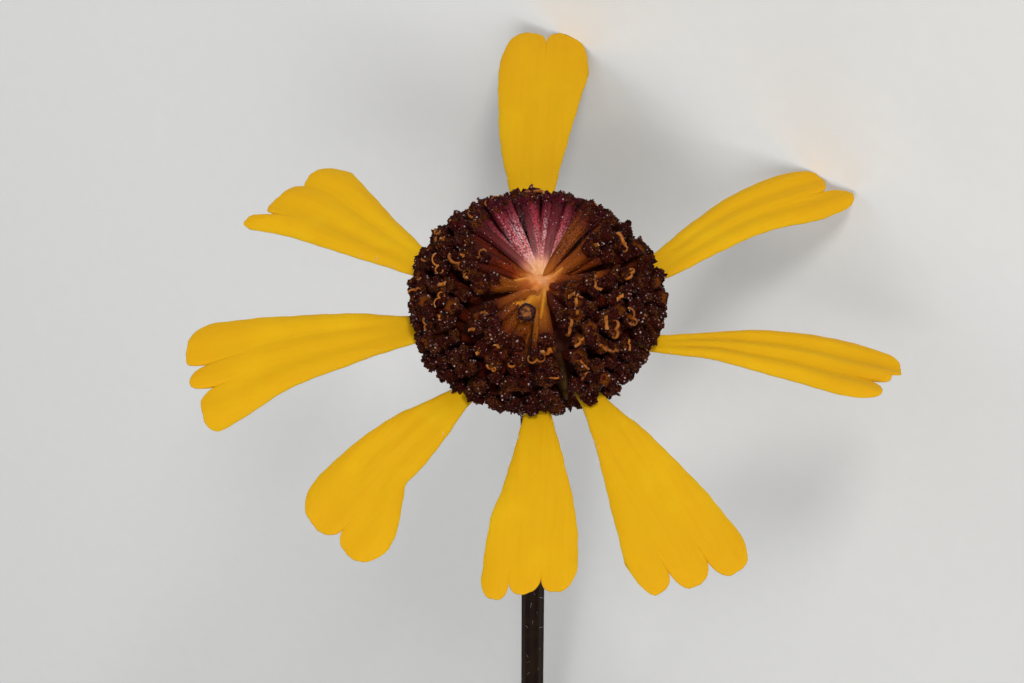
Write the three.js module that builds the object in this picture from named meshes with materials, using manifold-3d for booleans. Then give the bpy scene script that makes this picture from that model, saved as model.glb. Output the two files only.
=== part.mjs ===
// Shortleaf sneezeweed: one cut flower head on a bare stem, laid on its side.
// Millimetres. The head is drawn in its own frame first: its axis is +Z, the plane of the
// petals is z = 0 and azimuths run anticlockwise from +X as seen from above the disc.
import * as THREE from 'three';
import Module from 'manifold-3d';
import { mergeVertices } from 'three/addons/utils/BufferGeometryUtils.js';

const wasm = await Module();
wasm.setup();
const { Manifold, Mesh } = wasm;

// How the flower lies: on the tips of petals 1 and 2 and on the cut end of the stem
const headCentre = [0.95, -43.55, 18.15];
const downAzimuth = 54;
const axisTilt = 15;

const bladeThickness = 0.64;
const clearance = 0.13;
const clawStart = 3.6;
const pleatDepth = 0.12;

const discCentreHeight = 1.4;
const coreRadius = 6.8;
const coreHeight = 3.7;
const floretCount = 176;
const mouthRadius = 0.71;
const partingFront = 2.6;
const partingBack = 5.2;
const partingAzimuth = 90;
const partingPower = 2.6;
const partingFloor = 3.3;
const partingRim = 1.08;
const baredTubeCount = 22;

const bossRadius = 3.3;
const saucerRadius = 4.2;
const bractCount = 17;
const bractLength = 4.6;

const stemRadius = 0.68;
const straightStem = 40;
const endFlat = 0.06;

const yellow = new THREE.MeshStandardMaterial({ color: 0xe0ab12, roughness: 0.75, metalness: 0 });
const maroon = new THREE.MeshStandardMaterial({ color: 0x3d1a1c, roughness: 0.7, metalness: 0 });
const paleOrange = new THREE.MeshStandardMaterial({ color: 0xb8622a, roughness: 0.6, metalness: 0 });
const green = new THREE.MeshStandardMaterial({ color: 0x6f8238, roughness: 0.7, metalness: 0 });
const redBrown = new THREE.MeshStandardMaterial({ color: 0x4f2415, roughness: 0.7, metalness: 0 });

const radians = (degrees) => degrees * Math.PI / 180;
const clamp01 = (t) => Math.min(1, Math.max(0, t));
const smooth = (t) => clamp01(t) ** 2 * (3 - 2 * clamp01(t));

// Petals. left and right are the two edges as [distance from the axis, offset across];
// notches are [across from -1 to 1, reach], the first and last being the corners of the tip,
// and lobes are [reach, where its peak lies between its two notches].
const petals = [
  { azimuth: 88, roll: 0, rise: 0.5, droop: 1.0,
    left: [[3.6, 0.75], [6, 1.15], [9.1, 1.7], [12.9, 2.45], [17.7, 2.8]],
    right: [[3.6, -0.3], [6, -0.6], [9.4, -0.95], [13.4, -1.65], [17.1, -2.38], [18.5, -2.66]],
    notches: [[-1, 18.6], [0.07, 21.1], [1, 18.6]], lobes: [[21.9, 0.7], [21.85, 0.42]] },
  { azimuth: 26, roll: -10, rise: 0.8, droop: 1.0,
    left: [[3.6, 0.3], [6, 0.5], [8, 0.8], [9.3, 1.3], [11.2, 2.2], [14, 3.0], [17.2, 3.45]],
    right: [[3.6, -0.8], [6, -1.1], [9, -1.15], [12, -0.8], [15.5, -0.55], [18.5, -0.95]],
    notches: [[-1, 19.7], [-0.14, 19.3], [1, 17.3]], lobes: [[20.8, 0.5], [20.2, 0.3]] },
  { azimuth: -11, roll: -18, rise: 0.3, droop: 0.8,
    left: [[3.6, 0.1], [7.4, 0.1], [9, 0.6], [11, 1.43], [13, 2.0], [15.5, 2.42], [17.3, 2.5]],
    right: [[3.6, -1], [6, -1.15], [10.8, -1.2], [12.8, -1.35], [15.2, -1.65], [18.2, -2.62]],
    notches: [[-1, 18.6], [-0.27, 19.6], [0.02, 20.8], [1, 17.6]],
    lobes: [[20.6, 0.45], [20.9, 0.6], [21.4, 0.18]] },
  { azimuth: -62.5, roll: 4, rise: 0.2, droop: 1.0,
    left: [[3.6, 0.55], [7.1, 0.95], [9.6, 1.75], [12.2, 2.35], [14.9, 2.85], [18.6, 3.35]],
    right: [[3.6, -0.45], [6.7, -0.45], [8.7, -0.75], [10.8, -1.25], [13.2, -2.0], [17.2, -3.2]],
    notches: [[-1, 17.6], [-0.42, 18.7], [0.19, 19.4], [1, 18.7]],
    lobes: [[19.75, 0.5], [20.3, 0.5], [20.8, 0.45]] },
  { azimuth: -92, roll: 0, rise: 0.2, droop: 0.6,
    left: [[3.6, 0.5], [6.3, 0.96], [8, 1.35], [10.4, 1.85], [14.7, 2.8], [16.8, 2.96]],
    right: [[3.6, -0.5], [7, -0.5], [8.8, -0.95], [12.5, -1.85], [14.2, -2.2], [18.1, -2.45]],
    notches: [[-1, 18.0], [-0.42, 18.3], [0.24, 17.9], [1, 17.0]],
    lobes: [[19.45, 0.55], [19.05, 0.4], [18.9, 0.45]] },
  { azimuth: -127, roll: -4, rise: 0.4, droop: 0.9,
    left: [[3.6, 0.55], [7.9, 0.65], [10.1, 0.9], [12.6, 1.1], [13.7, 1.12], [14.6, 1.65], [16.3, 2.6],
      [17.7, 3.1]],
    right: [[3.6, -0.5], [6.8, -0.6], [8.4, -1.2], [10.3, -1.95], [14.2, -2.9], [16.2, -3.15]],
    notches: [[-1, 16.8], [0.07, 18.2], [1, 17.4]], lobes: [[19.0, 0.62], [19.4, 0.45]] },
  { azimuth: -169, roll: 0, rise: 0.6, droop: 0.9,
    left: [[3.6, 0.55], [7.7, 0.7], [12.3, 1.65], [14.8, 2.4], [18.4, 4.12], [19.2, 4.4]],
    right: [[3.6, -0.75], [7.3, -1.35], [9.4, -1.87], [12.2, -2.55], [14.8, -2.9], [18.6, -3.25]],
    notches: [[-1, 18.7], [-0.35, 18.9], [0.1, 19.0], [1, 19.3]],
    lobes: [[20.3, 0.65], [20.45, 0.55], [20.2, 0.5]] },
  { azimuth: 148, roll: 6, rise: 0.4, droop: 1.2,
    left: [[3.6, 0.6], [7.6, 1.31], [12.1, 2.28], [15.7, 2.7], [17, 3.15], [17.6, 3.5]],
    right: [[3.6, -0.45], [7.9, -0.85], [9.5, -1.45], [12.9, -2.8], [14.4, -3.4], [15, -3.6]],
    notches: [[-1, 15.0], [-0.3, 16.55], [0.55, 16.6], [1, 17.3]],
    lobes: [[16.75, 0.6], [17.35, 0.85], [17.95, 0.8]] },
];

// Smooth curve through a few [x, y] points, level slopes kept by central differences
function curve(points, x) {
  const last = points.length - 1;
  if (x <= points[0][0]) return points[0][1];
  if (x >= points[last][0]) return points[last][1];
  const i = points.findIndex((p, k) => k < last && x < points[k + 1][0]);
  const slope = (k) => {
    const a = points[Math.max(0, k - 1)];
    const b = points[Math.min(last, k + 1)];
    return (b[1] - a[1]) / (b[0] - a[0]);
  };
  const [a, b] = [points[i], points[i + 1]];
  const h = b[0] - a[0];
  const t = (x - a[0]) / h;
  return (2 * t ** 3 - 3 * t ** 2 + 1) * a[1] + (t ** 3 - 2 * t ** 2 + t) * h * slope(i)
    + (3 * t ** 2 - 2 * t ** 3) * b[1] + (t ** 3 - t ** 2) * h * slope(i + 1);
}

// How far out the lobed tip reaches at v across the petal
function reach({ notches, lobes }, v) {
  const i = Math.max(0, notches.findIndex((n, k) => k < lobes.length && v <= notches[k + 1][0]));
  const [[v0, low0], [v1, low1]] = [notches[i], notches[i + 1]];
  const [top, peak] = lobes[i];
  const t = (v - v0) / (v1 - v0);
  const away = t < peak ? 1 - t / peak : (t - peak) / (1 - peak);
  const low = t < peak ? low0 : low1;
  return low + (top - low) * (1 - away ** 2.6);
}

// Middle surface of a petal at s from the axis and v across, shallow pleats along it
function petalPoint(petal, s, v, widen) {
  const left = curve(petal.left, s) + widen;
  const right = curve(petal.right, s) - widen;
  const across = (left + right) / 2 + v * (left - right) / 2;
  const roll = radians(petal.roll) * smooth((s - 6) / 5);
  const t = Math.max(0, s - 6) / 15;
  const pleat = pleatDepth * smooth((s - 7) / 4) * Math.cos(3 * Math.PI * v);
  const z = petal.rise * t - petal.droop * t * t + across * Math.sin(roll) + pleat;
  const w = across * Math.cos(roll);
  const a = radians(petal.azimuth);
  return new THREE.Vector3(s * Math.cos(a) - w * Math.sin(a), s * Math.sin(a) + w * Math.cos(a), z);
}

function solid(geometry) {
  geometry.deleteAttribute('normal');
  geometry.deleteAttribute('uv');
  const merged = mergeVertices(geometry, 1e-5);
  return new Manifold(new Mesh({ numProp: 3, vertProperties: merged.attributes.position.array,
    triVerts: new Uint32Array(merged.index.array) }));
}

function indexed(points, triangles) {
  const geometry = new THREE.BufferGeometry();
  geometry.setAttribute('position', new THREE.Float32BufferAttribute(points.flatMap((p) => p.toArray()), 3));
  geometry.setIndex(triangles);
  return solid(geometry);
}

function lathe(profile, sides) {
  return solid(new THREE.LatheGeometry(profile.map(([r, z]) => new THREE.Vector2(r, z)), sides)
    .rotateX(Math.PI / 2));
}

// A blade: two grids of points half a thickness off the middle surface, walled round the rim
function petalSolid(petal) {
  const columns = Array.from({ length: 13 }, (_, k) => -1 + k / 6);
  for (const [v] of petal.notches.slice(1, -1)) columns[Math.round((v + 1) * 6)] = v;
  return blade(petal, columns, [0, 0.09, 0.19, 0.3, 0.42, 0.55, 0.68, 0.8, 0.91, 1]);
}

function blade(petal, columns, rows, grow = 0, from = clawStart, to = Infinity) {
  const half = bladeThickness / 2 + grow;
  const top = [];
  const bottom = [];
  for (const u of rows) {
    for (const v of columns) {
      const s = from + (Math.min(reach(petal, v), to) - from) * u;
      const p = petalPoint(petal, s, v, grow);
      const along = petalPoint(petal, s + 0.05, v, grow).sub(p);
      const over = petalPoint(petal, s, v + 0.01, grow).sub(p);
      const normal = along.cross(over).normalize();
      top.push(p.clone().addScaledVector(normal, half));
      bottom.push(p.clone().addScaledVector(normal, -half));
    }
  }
  const n = columns.length;
  const size = top.length;
  const triangles = [];
  const quad = (a, b, c, d) => triangles.push(a, b, c, a, c, d);
  for (let i = 0; i < rows.length - 1; i++) {
    for (let j = 0; j < n - 1; j++) {
      const [a, b, c, d] = [i * n + j, (i + 1) * n + j, (i + 1) * n + j + 1, i * n + j + 1];
      quad(a, b, c, d);
      quad(size + d, size + c, size + b, size + a);
    }
  }
  const rim = [];
  for (let j = 0; j < n - 1; j++) rim.push(j);
  for (let i = 0; i < rows.length - 1; i++) rim.push(i * n + n - 1);
  for (let j = n - 1; j > 0; j--) rim.push((rows.length - 1) * n + j);
  for (let i = rows.length - 1; i > 0; i--) rim.push(i * n);
  rim.forEach((a, k) => {
    const b = rim[(k + 1) % rim.length];
    quad(a, b, size + b, size + a);
  });
  return indexed([...top, ...bottom], triangles);
}

// A closed tube along a few points, its section a flattened polygon that can taper
function rod(points, radii, sides, flatten = 1) {
  const vertices = [];
  const triangles = [];
  const side = new THREE.Vector3();
  points.forEach((p, i) => {
    const a = points[Math.max(0, i - 1)];
    const b = points[Math.min(points.length - 1, i + 1)];
    const along = b.clone().sub(a).normalize();
    if (i === 0) {
      side.set(-along.y, along.x, 0);
      if (side.length() < 0.1) side.set(1, 0, 0);
    }
    side.addScaledVector(along, -side.dot(along)).normalize();
    const over = along.clone().cross(side);
    for (let k = 0; k < sides; k++) {
      const t = (k + 0.5) * 2 * Math.PI / sides;
      vertices.push(p.clone().addScaledVector(side, radii[i] * Math.cos(t))
        .addScaledVector(over, radii[i] * flatten * Math.sin(t)));
    }
  });
  for (let i = 0; i < points.length - 1; i++) {
    for (let k = 0; k < sides; k++) {
      const [a, b] = [i * sides + k, i * sides + (k + 1) % sides];
      triangles.push(a, b, b + sides, a, b + sides, a + sides);
    }
  }
  const last = (points.length - 1) * sides;
  for (let k = 1; k < sides - 1; k++) {
    triangles.push(0, k + 1, k, last, last + k, last + k + 1);
  }
  return indexed(vertices, triangles);
}

const ellipsoid = (t, out = 0) => [(coreRadius + out) * Math.sin(t),
  discCentreHeight + (coreHeight + out) * Math.cos(t)];

// Disc florets: five-lobed mouths on short tubes, in a golden-angle spiral of equal spacing
// over the dome, standing out of a smaller core of packed tubes
function floret(position, axis, spin, size) {
  const rings = [];
  const turn = new THREE.Quaternion().setFromUnitVectors(new THREE.Vector3(0, 0, 1), axis);
  const put = (r, angle, z) => new THREE.Vector3(r * Math.cos(angle), r * Math.sin(angle), z)
    .multiplyScalar(size).applyQuaternion(turn).add(position);
  for (let k = 0; k < 5; k++) {
    rings.push(put(0.68 * mouthRadius, spin + (k - 0.5) * 2 * Math.PI / 5, -0.1));
    rings.push(put(mouthRadius, spin + k * 2 * Math.PI / 5, -0.02));
  }
  rings.push(put(0, 0, -1.6), put(0, 0, -0.36));
  const triangles = [];
  for (let k = 0; k < 10; k++) {
    const next = (k + 1) % 10;
    triangles.push(next, k, 10, k, next, 11);
  }
  return indexed(rings, triangles);
}

// Repeatable draw between -1 and 1 for the k-th repeat
const draw = (k, salt) => 2 * (Math.abs(Math.sin(k * 12.9898 + salt * 78.233) * 43758.5453) % 1) - 1;

function discFlorets() {
  const steps = 200;
  const [first, end] = [0.18, 2.72];
  const areas = [0];
  for (let i = 0; i < steps; i++) {
    const t = first + (end - first) * (i + 0.5) / steps;
    areas.push(areas[i] + coreRadius * Math.sin(t)
      * Math.hypot(coreRadius * Math.cos(t), coreHeight * Math.sin(t)));
  }
  const pieces = [];
  for (let k = 0; k < floretCount; k++) {
    const wanted = areas[steps] * (k + 0.5) / floretCount;
    const i = areas.findIndex((a) => a > wanted) - 1;
    const t = first + (end - first) * (i + (wanted - areas[i]) / (areas[i + 1] - areas[i])) / steps;
    const azimuth = k * radians(137.508) + 0.07 * draw(k, 1);
    const [r, z] = ellipsoid(t, 0.62 + 0.12 * draw(k, 2));
    const position = new THREE.Vector3(r * Math.cos(azimuth), r * Math.sin(azimuth), z);
    const inside = r - partingEdge(azimuth);
    if (inside < 0.4 || nearPetal(position)) continue;
    const tilt = Math.atan2(Math.sin(t) / coreRadius, Math.cos(t) / coreHeight)
      + 0.3 * (1 - smooth(inside / 2)) + 0.12 * draw(k, 3);
    const aim = azimuth + 0.12 * draw(k, 4);
    const axis = new THREE.Vector3(Math.sin(tilt) * Math.cos(aim), Math.sin(tilt) * Math.sin(aim),
      Math.cos(tilt));
    pieces.push(floret(position, axis, draw(k, 5) * Math.PI, 1 + 0.1 * draw(k, 6)));
  }
  const profile = [[0, 0.46], [4.7, 0.46], [4.7, -1.3], [5.0, -1.75]];
  for (let i = 0; i <= 7; i++) profile.push(ellipsoid(2.2 * (1 - i / 7)));
  const slots = petals.map((petal) => blade(petal, [-1, 0, 1], [0, 0.25, 0.5, 0.75, 1], clearance,
    clawStart - 0.15, 9));
  const hollow = lathe([[0, -4], [4.7, -4], [4.7, 0.46], [0, 0.46]], 18);
  const whole = Manifold.union([lathe(profile, 18), ...pieces]);
  const cut = whole.subtract(Manifold.union([hollow, parting(), ...slots]));
  return cut.decompose().reduce((a, b) => (b.volume() > a.volume() ? b : a));
}

// True where a mouth would sit in the way of a petal's base
function nearPetal(p) {
  return petals.some((petal) => {
    const a = radians(petal.azimuth);
    const s = p.x * Math.cos(a) + p.y * Math.sin(a);
    const w = p.y * Math.cos(a) - p.x * Math.sin(a);
    return s > 0 && Math.abs(p.z) < 0.62
      && w < curve(petal.left, s) + 0.35 && w > curve(petal.right, s) - 0.35;
  });
}

// The parting at the top of the disc: the florets lean away from the centre, most of all at the
// back, so its edge lies far out there and close in at the front
function partingEdge(azimuth) {
  const back = (1 + Math.cos(azimuth - radians(partingAzimuth))) / 2;
  return partingFront + (partingBack - partingFront) * back ** partingPower;
}

const domeHeight = (r, out = 0) => discCentreHeight
  + (coreHeight + out) * Math.sqrt(1 - (r / (coreRadius + out)) ** 2);

// Height of the parting's floor, a cone that rises from the centre to its edge
function floorHeight(r, azimuth) {
  const edge = partingEdge(azimuth);
  return partingFloor + (domeHeight(edge) - partingFloor) * r / edge;
}

function parting() {
  const sides = 40;
  const vertices = [new THREE.Vector3(0, 0, partingFloor), new THREE.Vector3(0, 0, 8)];
  const triangles = [];
  for (let k = 0; k < sides; k++) {
    const azimuth = k * 2 * Math.PI / sides;
    const r = partingEdge(azimuth) * partingRim;
    const [x, y] = [r * Math.cos(azimuth), r * Math.sin(azimuth)];
    vertices.push(new THREE.Vector3(x, y, floorHeight(r, azimuth)), new THREE.Vector3(x, y, 8));
    const [a, b] = [2 + 2 * k, 2 + 2 * ((k + 1) % sides)];
    triangles.push(0, b, a, a, b, b + 1, a, b + 1, a + 1, 1, a + 1, b + 1);
  }
  return indexed(vertices, triangles);
}

// Bare tubes of the innermost florets, fanning out over the parting's floor
function baredTubes() {
  const pieces = [];
  for (let k = 0; k < baredTubeCount; k++) {
    const azimuth = (k + 0.25 * draw(k, 7)) * 2 * Math.PI / baredTubeCount;
    const edge = partingEdge(azimuth) * (0.96 + 0.06 * draw(k, 8));
    const radii = [0.26, 0.32, 0.38];
    const points = [0.12, 0.5 * edge, edge].map((r, i) => new THREE.Vector3(r * Math.cos(azimuth),
      r * Math.sin(azimuth), floorHeight(r, azimuth) + radii[i] + 2 * clearance));
    pieces.push(rod(points, radii, 5));
  }
  return Manifold.union(pieces);
}

// Receptacle under the disc with its ring of narrow bracts bent down
function involucre() {
  const profile = [[0, -2.5], [1.5, -2.5], [2.9, -2.0], [3.8, -1.35], [saucerRadius, -0.75],
    [saucerRadius, -0.45], [bossRadius, -0.45], [bossRadius, 0.33], [0, 0.33]];
  const pieces = [lathe(profile, 32)];
  for (let k = 0; k < bractCount; k++) {
    const azimuth = (k + 0.2 * draw(k, 9)) * 2 * Math.PI / bractCount;
    const length = bractLength * (1 + 0.1 * draw(k, 10));
    const at = (r, z) => new THREE.Vector3(r * Math.cos(azimuth), r * Math.sin(azimuth), z);
    pieces.push(rod([at(3.4, -1.05), at(3.95, -1.7), at(3.9, -1.2 - 0.45 * length),
      at(3.3, -1.2 - 0.75 * length), at(2.45 + 0.2 * draw(k, 11), -1.2 - length)],
    [0.75, 0.85, 0.75, 0.6, 0.4], 4, 0.55));
  }
  return Manifold.union(pieces);
}

// Stem: straight below the head, then bent so that its last part runs along the surface
function stem() {
  const down = radians(downAzimuth);
  const tilt = radians(axisTilt);
  const bend = (headCentre[2] - straightStem * Math.sin(tilt) - stemRadius + endFlat)
    / (1 - Math.cos(tilt));
  const at = (out, z) => new THREE.Vector3(out * Math.cos(down), out * Math.sin(down), z);
  const points = [2.62, 4, 7, 13, 26, straightStem].map((depth) => at(0, -depth));
  for (let i = 1; i <= 9; i++) {
    const t = tilt * i / 9;
    points.push(at(-bend * (1 - Math.cos(t)), -straightStem - bend * Math.sin(t)));
  }
  const radii = points.map((p, i) => stemRadius + [0.55, 0.32, 0.14, 0.05, 0.02][i] || stemRadius);
  return rod(points, radii, 12);
}

// The head's frame laid down: downAzimuth turns to the surface, the axis tips up by axisTilt
const tilt = radians(axisTilt);
const down = radians(downAzimuth);
const downward = new THREE.Vector3(0, -Math.sin(tilt), -Math.cos(tilt));
const sideways = new THREE.Vector3(1, 0, 0);
const axis = new THREE.Vector3(0, -Math.cos(tilt), Math.sin(tilt));
const xAxis = downward.clone().multiplyScalar(Math.cos(down)).addScaledVector(sideways, -Math.sin(down));
const yAxis = downward.clone().multiplyScalar(Math.sin(down)).addScaledVector(sideways, Math.cos(down));
const laid = new THREE.Matrix4().makeBasis(xAxis, yAxis, axis).setPosition(...headCentre);

// What reaches below the surface is cut off flat
function restOnSurface(shape) {
  const up = new THREE.Vector3(xAxis.z, yAxis.z, axis.z);
  return shape.trimByPlane(up.toArray(), -headCentre[2]);
}

const flower = new THREE.Group();
flower.applyMatrix4(laid);

function add(name, shape, material) {
  const mesh = shape.simplify(0.003).getMesh();
  const geometry = new THREE.BufferGeometry();
  geometry.setAttribute('position', new THREE.BufferAttribute(mesh.vertProperties, 3));
  geometry.setIndex(new THREE.BufferAttribute(mesh.triVerts, 1));
  geometry.computeVertexNormals();
  const part = new THREE.Mesh(geometry, material);
  part.name = name;
  flower.add(part);
}

add('stem', restOnSurface(stem()), redBrown);
add('involucre', involucre(), green);
add('disc_florets', discFlorets(), maroon);
add('bared_floret_tubes', baredTubes(), paleOrange);
petals.forEach((petal, k) => add(`ray_petal_${k + 1}`, restOnSurface(petalSolid(petal)), yellow));

const object = new THREE.Group();
object.add(flower);
export default object;
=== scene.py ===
import math

import bpy
import numpy as np
from mathutils import Matrix, Vector


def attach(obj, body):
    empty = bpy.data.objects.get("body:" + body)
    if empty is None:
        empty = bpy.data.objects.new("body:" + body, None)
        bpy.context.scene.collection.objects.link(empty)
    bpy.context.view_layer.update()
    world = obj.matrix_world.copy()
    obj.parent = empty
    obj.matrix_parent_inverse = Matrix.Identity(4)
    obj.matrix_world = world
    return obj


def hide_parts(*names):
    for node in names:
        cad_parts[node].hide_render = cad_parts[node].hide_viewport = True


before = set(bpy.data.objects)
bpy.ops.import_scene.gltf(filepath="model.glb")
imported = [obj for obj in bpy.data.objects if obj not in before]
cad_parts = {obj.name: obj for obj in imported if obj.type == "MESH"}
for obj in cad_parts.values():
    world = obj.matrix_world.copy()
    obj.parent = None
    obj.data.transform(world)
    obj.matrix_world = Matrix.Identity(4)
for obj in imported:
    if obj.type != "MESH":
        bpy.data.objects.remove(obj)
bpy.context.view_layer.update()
mm = 0.001

# The flower is worked out in its own millimetres: the axis of the head is +Z and the plane of
# the petals is z = 0. laidDown puts it where the model lies, in metres.
lying = {
    "headCentre": (0.95, -43.55, 18.15),
    "downAzimuth": 54,
    "axisTilt": 15,
}


def flowerTurn():
    tilt = math.radians(lying["axisTilt"])
    down = math.radians(lying["downAzimuth"])
    downward = np.array([0, -math.sin(tilt), -math.cos(tilt)])
    sideways = np.array([1, 0, 0])
    axis = np.array([0, -math.cos(tilt), math.sin(tilt)])
    xAxis = downward * math.cos(down) - sideways * math.sin(down)
    yAxis = downward * math.sin(down) + sideways * math.cos(down)
    return np.column_stack([xAxis, yAxis, axis])


turn = flowerTurn()


def laidDown(points):
    return (np.asarray(points, float) @ turn.T + np.array(lying["headCentre"])) * mm


def addObject(name, data):
    made = bpy.data.objects.new(name, data)
    bpy.context.scene.collection.objects.link(made)
    return made


# Camera, looking down on the flower as the photograph does
photoCamera = {
    "lens": 160,
    "sensor": 36,
    "distance": 263.96,
    "elevation": 54,      # degrees above the plane of the petals
    "offRight": -1.334,
    "offUp": -1.479,
    "clip": (0.01, 50),
}


def makeCamera():
    e = math.radians(photoCamera["elevation"])
    right = np.array([1, 0, 0])
    up = np.array([0, math.sin(e), math.cos(e)])
    toCamera = np.array([0, -math.cos(e), math.sin(e)])
    spot = toCamera * photoCamera["distance"] + right * photoCamera["offRight"] + up * photoCamera["offUp"]
    data = bpy.data.cameras.new("photoCamera")
    data.lens = photoCamera["lens"]
    data.sensor_width = photoCamera["sensor"]
    data.clip_start, data.clip_end = photoCamera["clip"]
    camera = addObject("photoCamera", data)
    facing = turn @ np.column_stack([right, up, toCamera])
    camera.matrix_world = Matrix.Translation(Vector(laidDown(spot))) @ Matrix(facing.tolist()).to_4x4()
    bpy.context.scene.camera = camera


makeCamera()
print("camera placed")


# Node trees: a wire is one output that takes part in sums, a graph adds nodes to its tree
class Wire:
    def __init__(self, graph, node, name=None):
        self.graph = graph
        self.node = node
        self.socket = next((s for s in node.outputs if s.enabled and name in (None, s.name)), None)

    def __getitem__(self, name):
        return Wire(self.graph, self.node, name)

    def __add__(self, other):
        return self.graph.maths("ADD", self, other)

    def __sub__(self, other):
        return self.graph.maths("SUBTRACT", self, other)

    def __rsub__(self, other):
        return self.graph.maths("SUBTRACT", other, self)

    def __mul__(self, other):
        return self.graph.maths("MULTIPLY", self, other)

    __radd__ = __add__
    __rmul__ = __mul__


class Graph:
    def __init__(self, tree):
        self.tree = tree

    def feed(self, socket, value):
        if isinstance(value, Wire):
            self.tree.links.new(value.socket, socket)
        elif socket.is_multi_input:
            for one in value:
                self.tree.links.new(one.socket, socket)
        elif socket.type == "RGBA" and len(value) == 3:
            socket.default_value = (*value, 1)
        else:
            socket.default_value = value

    def node(self, kind, settings=None, inputs=None):
        made = self.tree.nodes.new(kind)
        for name, value in (settings or {}).items():
            if name == "stops":
                self.setStops(made.color_ramp, value)
            else:
                setattr(made, name, value)
        for name, value in (inputs or {}).items():
            if isinstance(name, int):
                socket = made.inputs[name]
            else:
                socket = next(s for s in made.inputs if s.enabled and s.name == name)
            self.feed(socket, value)
        return Wire(self, made)

    def setStops(self, ramp, stops):
        while len(ramp.elements) < len(stops):
            ramp.elements.new(0.5)
        for element, (place, colour) in zip(ramp.elements, stops):
            element.position = place
            element.color = (*colour, 1)

    def maths(self, operation, *values):
        return self.node("ShaderNodeMath", {"operation": operation}, dict(enumerate(values)))

    def vector(self, operation, *values):
        return self.node("ShaderNodeVectorMath", {"operation": operation}, dict(enumerate(values)))

    def join(self, x, y, z):
        return self.node("ShaderNodeCombineXYZ", None, {"X": x, "Y": y, "Z": z})

    def between(self, value, low, high):      # 0 below low, 1 above high, eased
        return self.node("ShaderNodeMapRange", {"interpolation_type": "SMOOTHSTEP"},
                         {"Value": value, "From Min": low, "From Max": high})

    def blend(self, factor, first, second):
        return self.node("ShaderNodeMix", {"data_type": "RGBA"},
                         {"Factor": factor, "A": first, "B": second})

    def ramp(self, factor, stops):
        return self.node("ShaderNodeValToRGB", {"stops": stops}, {"Fac": factor})

    def place(self):
        return self.node("ShaderNodeTexCoord")["Object"]

    def noise(self, scale, detail, where=None):
        return self.node("ShaderNodeTexNoise", None,
                         {"Vector": where or self.place(), "Scale": scale, "Detail": detail})

    def pebbles(self, scale):
        return self.node("ShaderNodeTexVoronoi", {"feature": "F1"},
                         {"Vector": self.place(), "Scale": scale})["Distance"]

    def value(self, name, output="Fac"):      # what is stored on the mesh, in a material
        return self.node("ShaderNodeAttribute", {"attribute_name": name})[output]

    def values(self, *names):
        return [self.value(name) for name in names]

    def stored(self, name, kind="FLOAT"):     # what is stored on the mesh, in a geometry tree
        return self.node("GeometryNodeInputNamedAttribute", {"data_type": kind}, {"Name": name})

    def store(self, geometry, name, value, domain="POINT"):
        return self.node("GeometryNodeStoreNamedAttribute", {"data_type": "FLOAT", "domain": domain},
                         {"Geometry": geometry, "Name": name, "Value": value})

    def random(self, seed, low, high, kind="FLOAT"):
        return self.node("FunctionNodeRandomValue", {"data_type": kind},
                         {"Min": low, "Max": high, "Seed": seed})

    def shape(self, item):
        return self.node("GeometryNodeObjectInfo", None, {"Object": item, "As Instance": True})["Geometry"]


# Each finish: the colour, roughness and bumps vary over the surface, the other values are fixed
def newFinish(name, paint, bump=0.5, depth=0.02, specular=0.5, sockets=None):
    material = bpy.data.materials.new(name)
    material.use_nodes = True
    material.node_tree.nodes.clear()
    graph = Graph(material.node_tree)
    colour, roughness, height = paint(graph)
    bumped = graph.node("ShaderNodeBump", None, {"Strength": bump, "Distance": depth * mm, "Height": height})
    shader = graph.node("ShaderNodeBsdfPrincipled", None, {
        "Base Color": colour, "Roughness": roughness, "Normal": bumped, "Specular IOR Level": specular,
        **(sockets or {})})
    graph.node("ShaderNodeOutputMaterial", None, {"Surface": shader})
    return material


# Geometry trees
def newTree(name, inputs):
    tree = bpy.data.node_groups.new(name, "GeometryNodeTree")
    tree.interface.new_socket("Geometry", in_out="INPUT", socket_type="NodeSocketGeometry")
    for label, kind in inputs.items():
        tree.interface.new_socket(label, in_out="INPUT", socket_type="NodeSocket" + kind)
    tree.interface.new_socket("Geometry", in_out="OUTPUT", socket_type="NodeSocketGeometry")
    graph = Graph(tree)
    return graph, graph.node("NodeGroupInput")


def endTree(graph, geometry, material):
    whole = graph.node("GeometryNodeRealizeInstances", None, {"Geometry": geometry})
    painted = graph.node("GeometryNodeSetMaterial", None, {"Geometry": whole, "Material": material})
    graph.node("NodeGroupOutput", None, {"Geometry": painted})


shapeLabels = ("First Shape", "Second Shape", "Third Shape")


# One shape on each seat: a seat stores how it is turned, its girth, its length and its kind
def seatTree():
    graph, start = newTree("oneOnEachSeat", {**dict.fromkeys(shapeLabels, "Object"),
                                             "Girth": "Float", "Length": "Float", "Material": "Material"})
    girth = graph.stored("girth") * start["Girth"]
    length = graph.stored("length") * start["Length"]
    shapes = [graph.shape(start[label]) for label in shapeLabels]
    angles = graph.stored("turned", "FLOAT_VECTOR")
    seated = graph.node("GeometryNodeInstanceOnPoints", None, {
        "Points": start["Geometry"],
        "Instance": graph.node("GeometryNodeJoinGeometry", None, {"Geometry": shapes}),
        "Pick Instance": True, "Instance Index": graph.stored("kind", "INT"),
        "Rotation": graph.node("FunctionNodeEulerToRotation", None, {"Euler": angles}),
        "Scale": graph.join(girth, girth, length)})
    endTree(graph, seated, start["Material"])
    return graph


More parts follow.
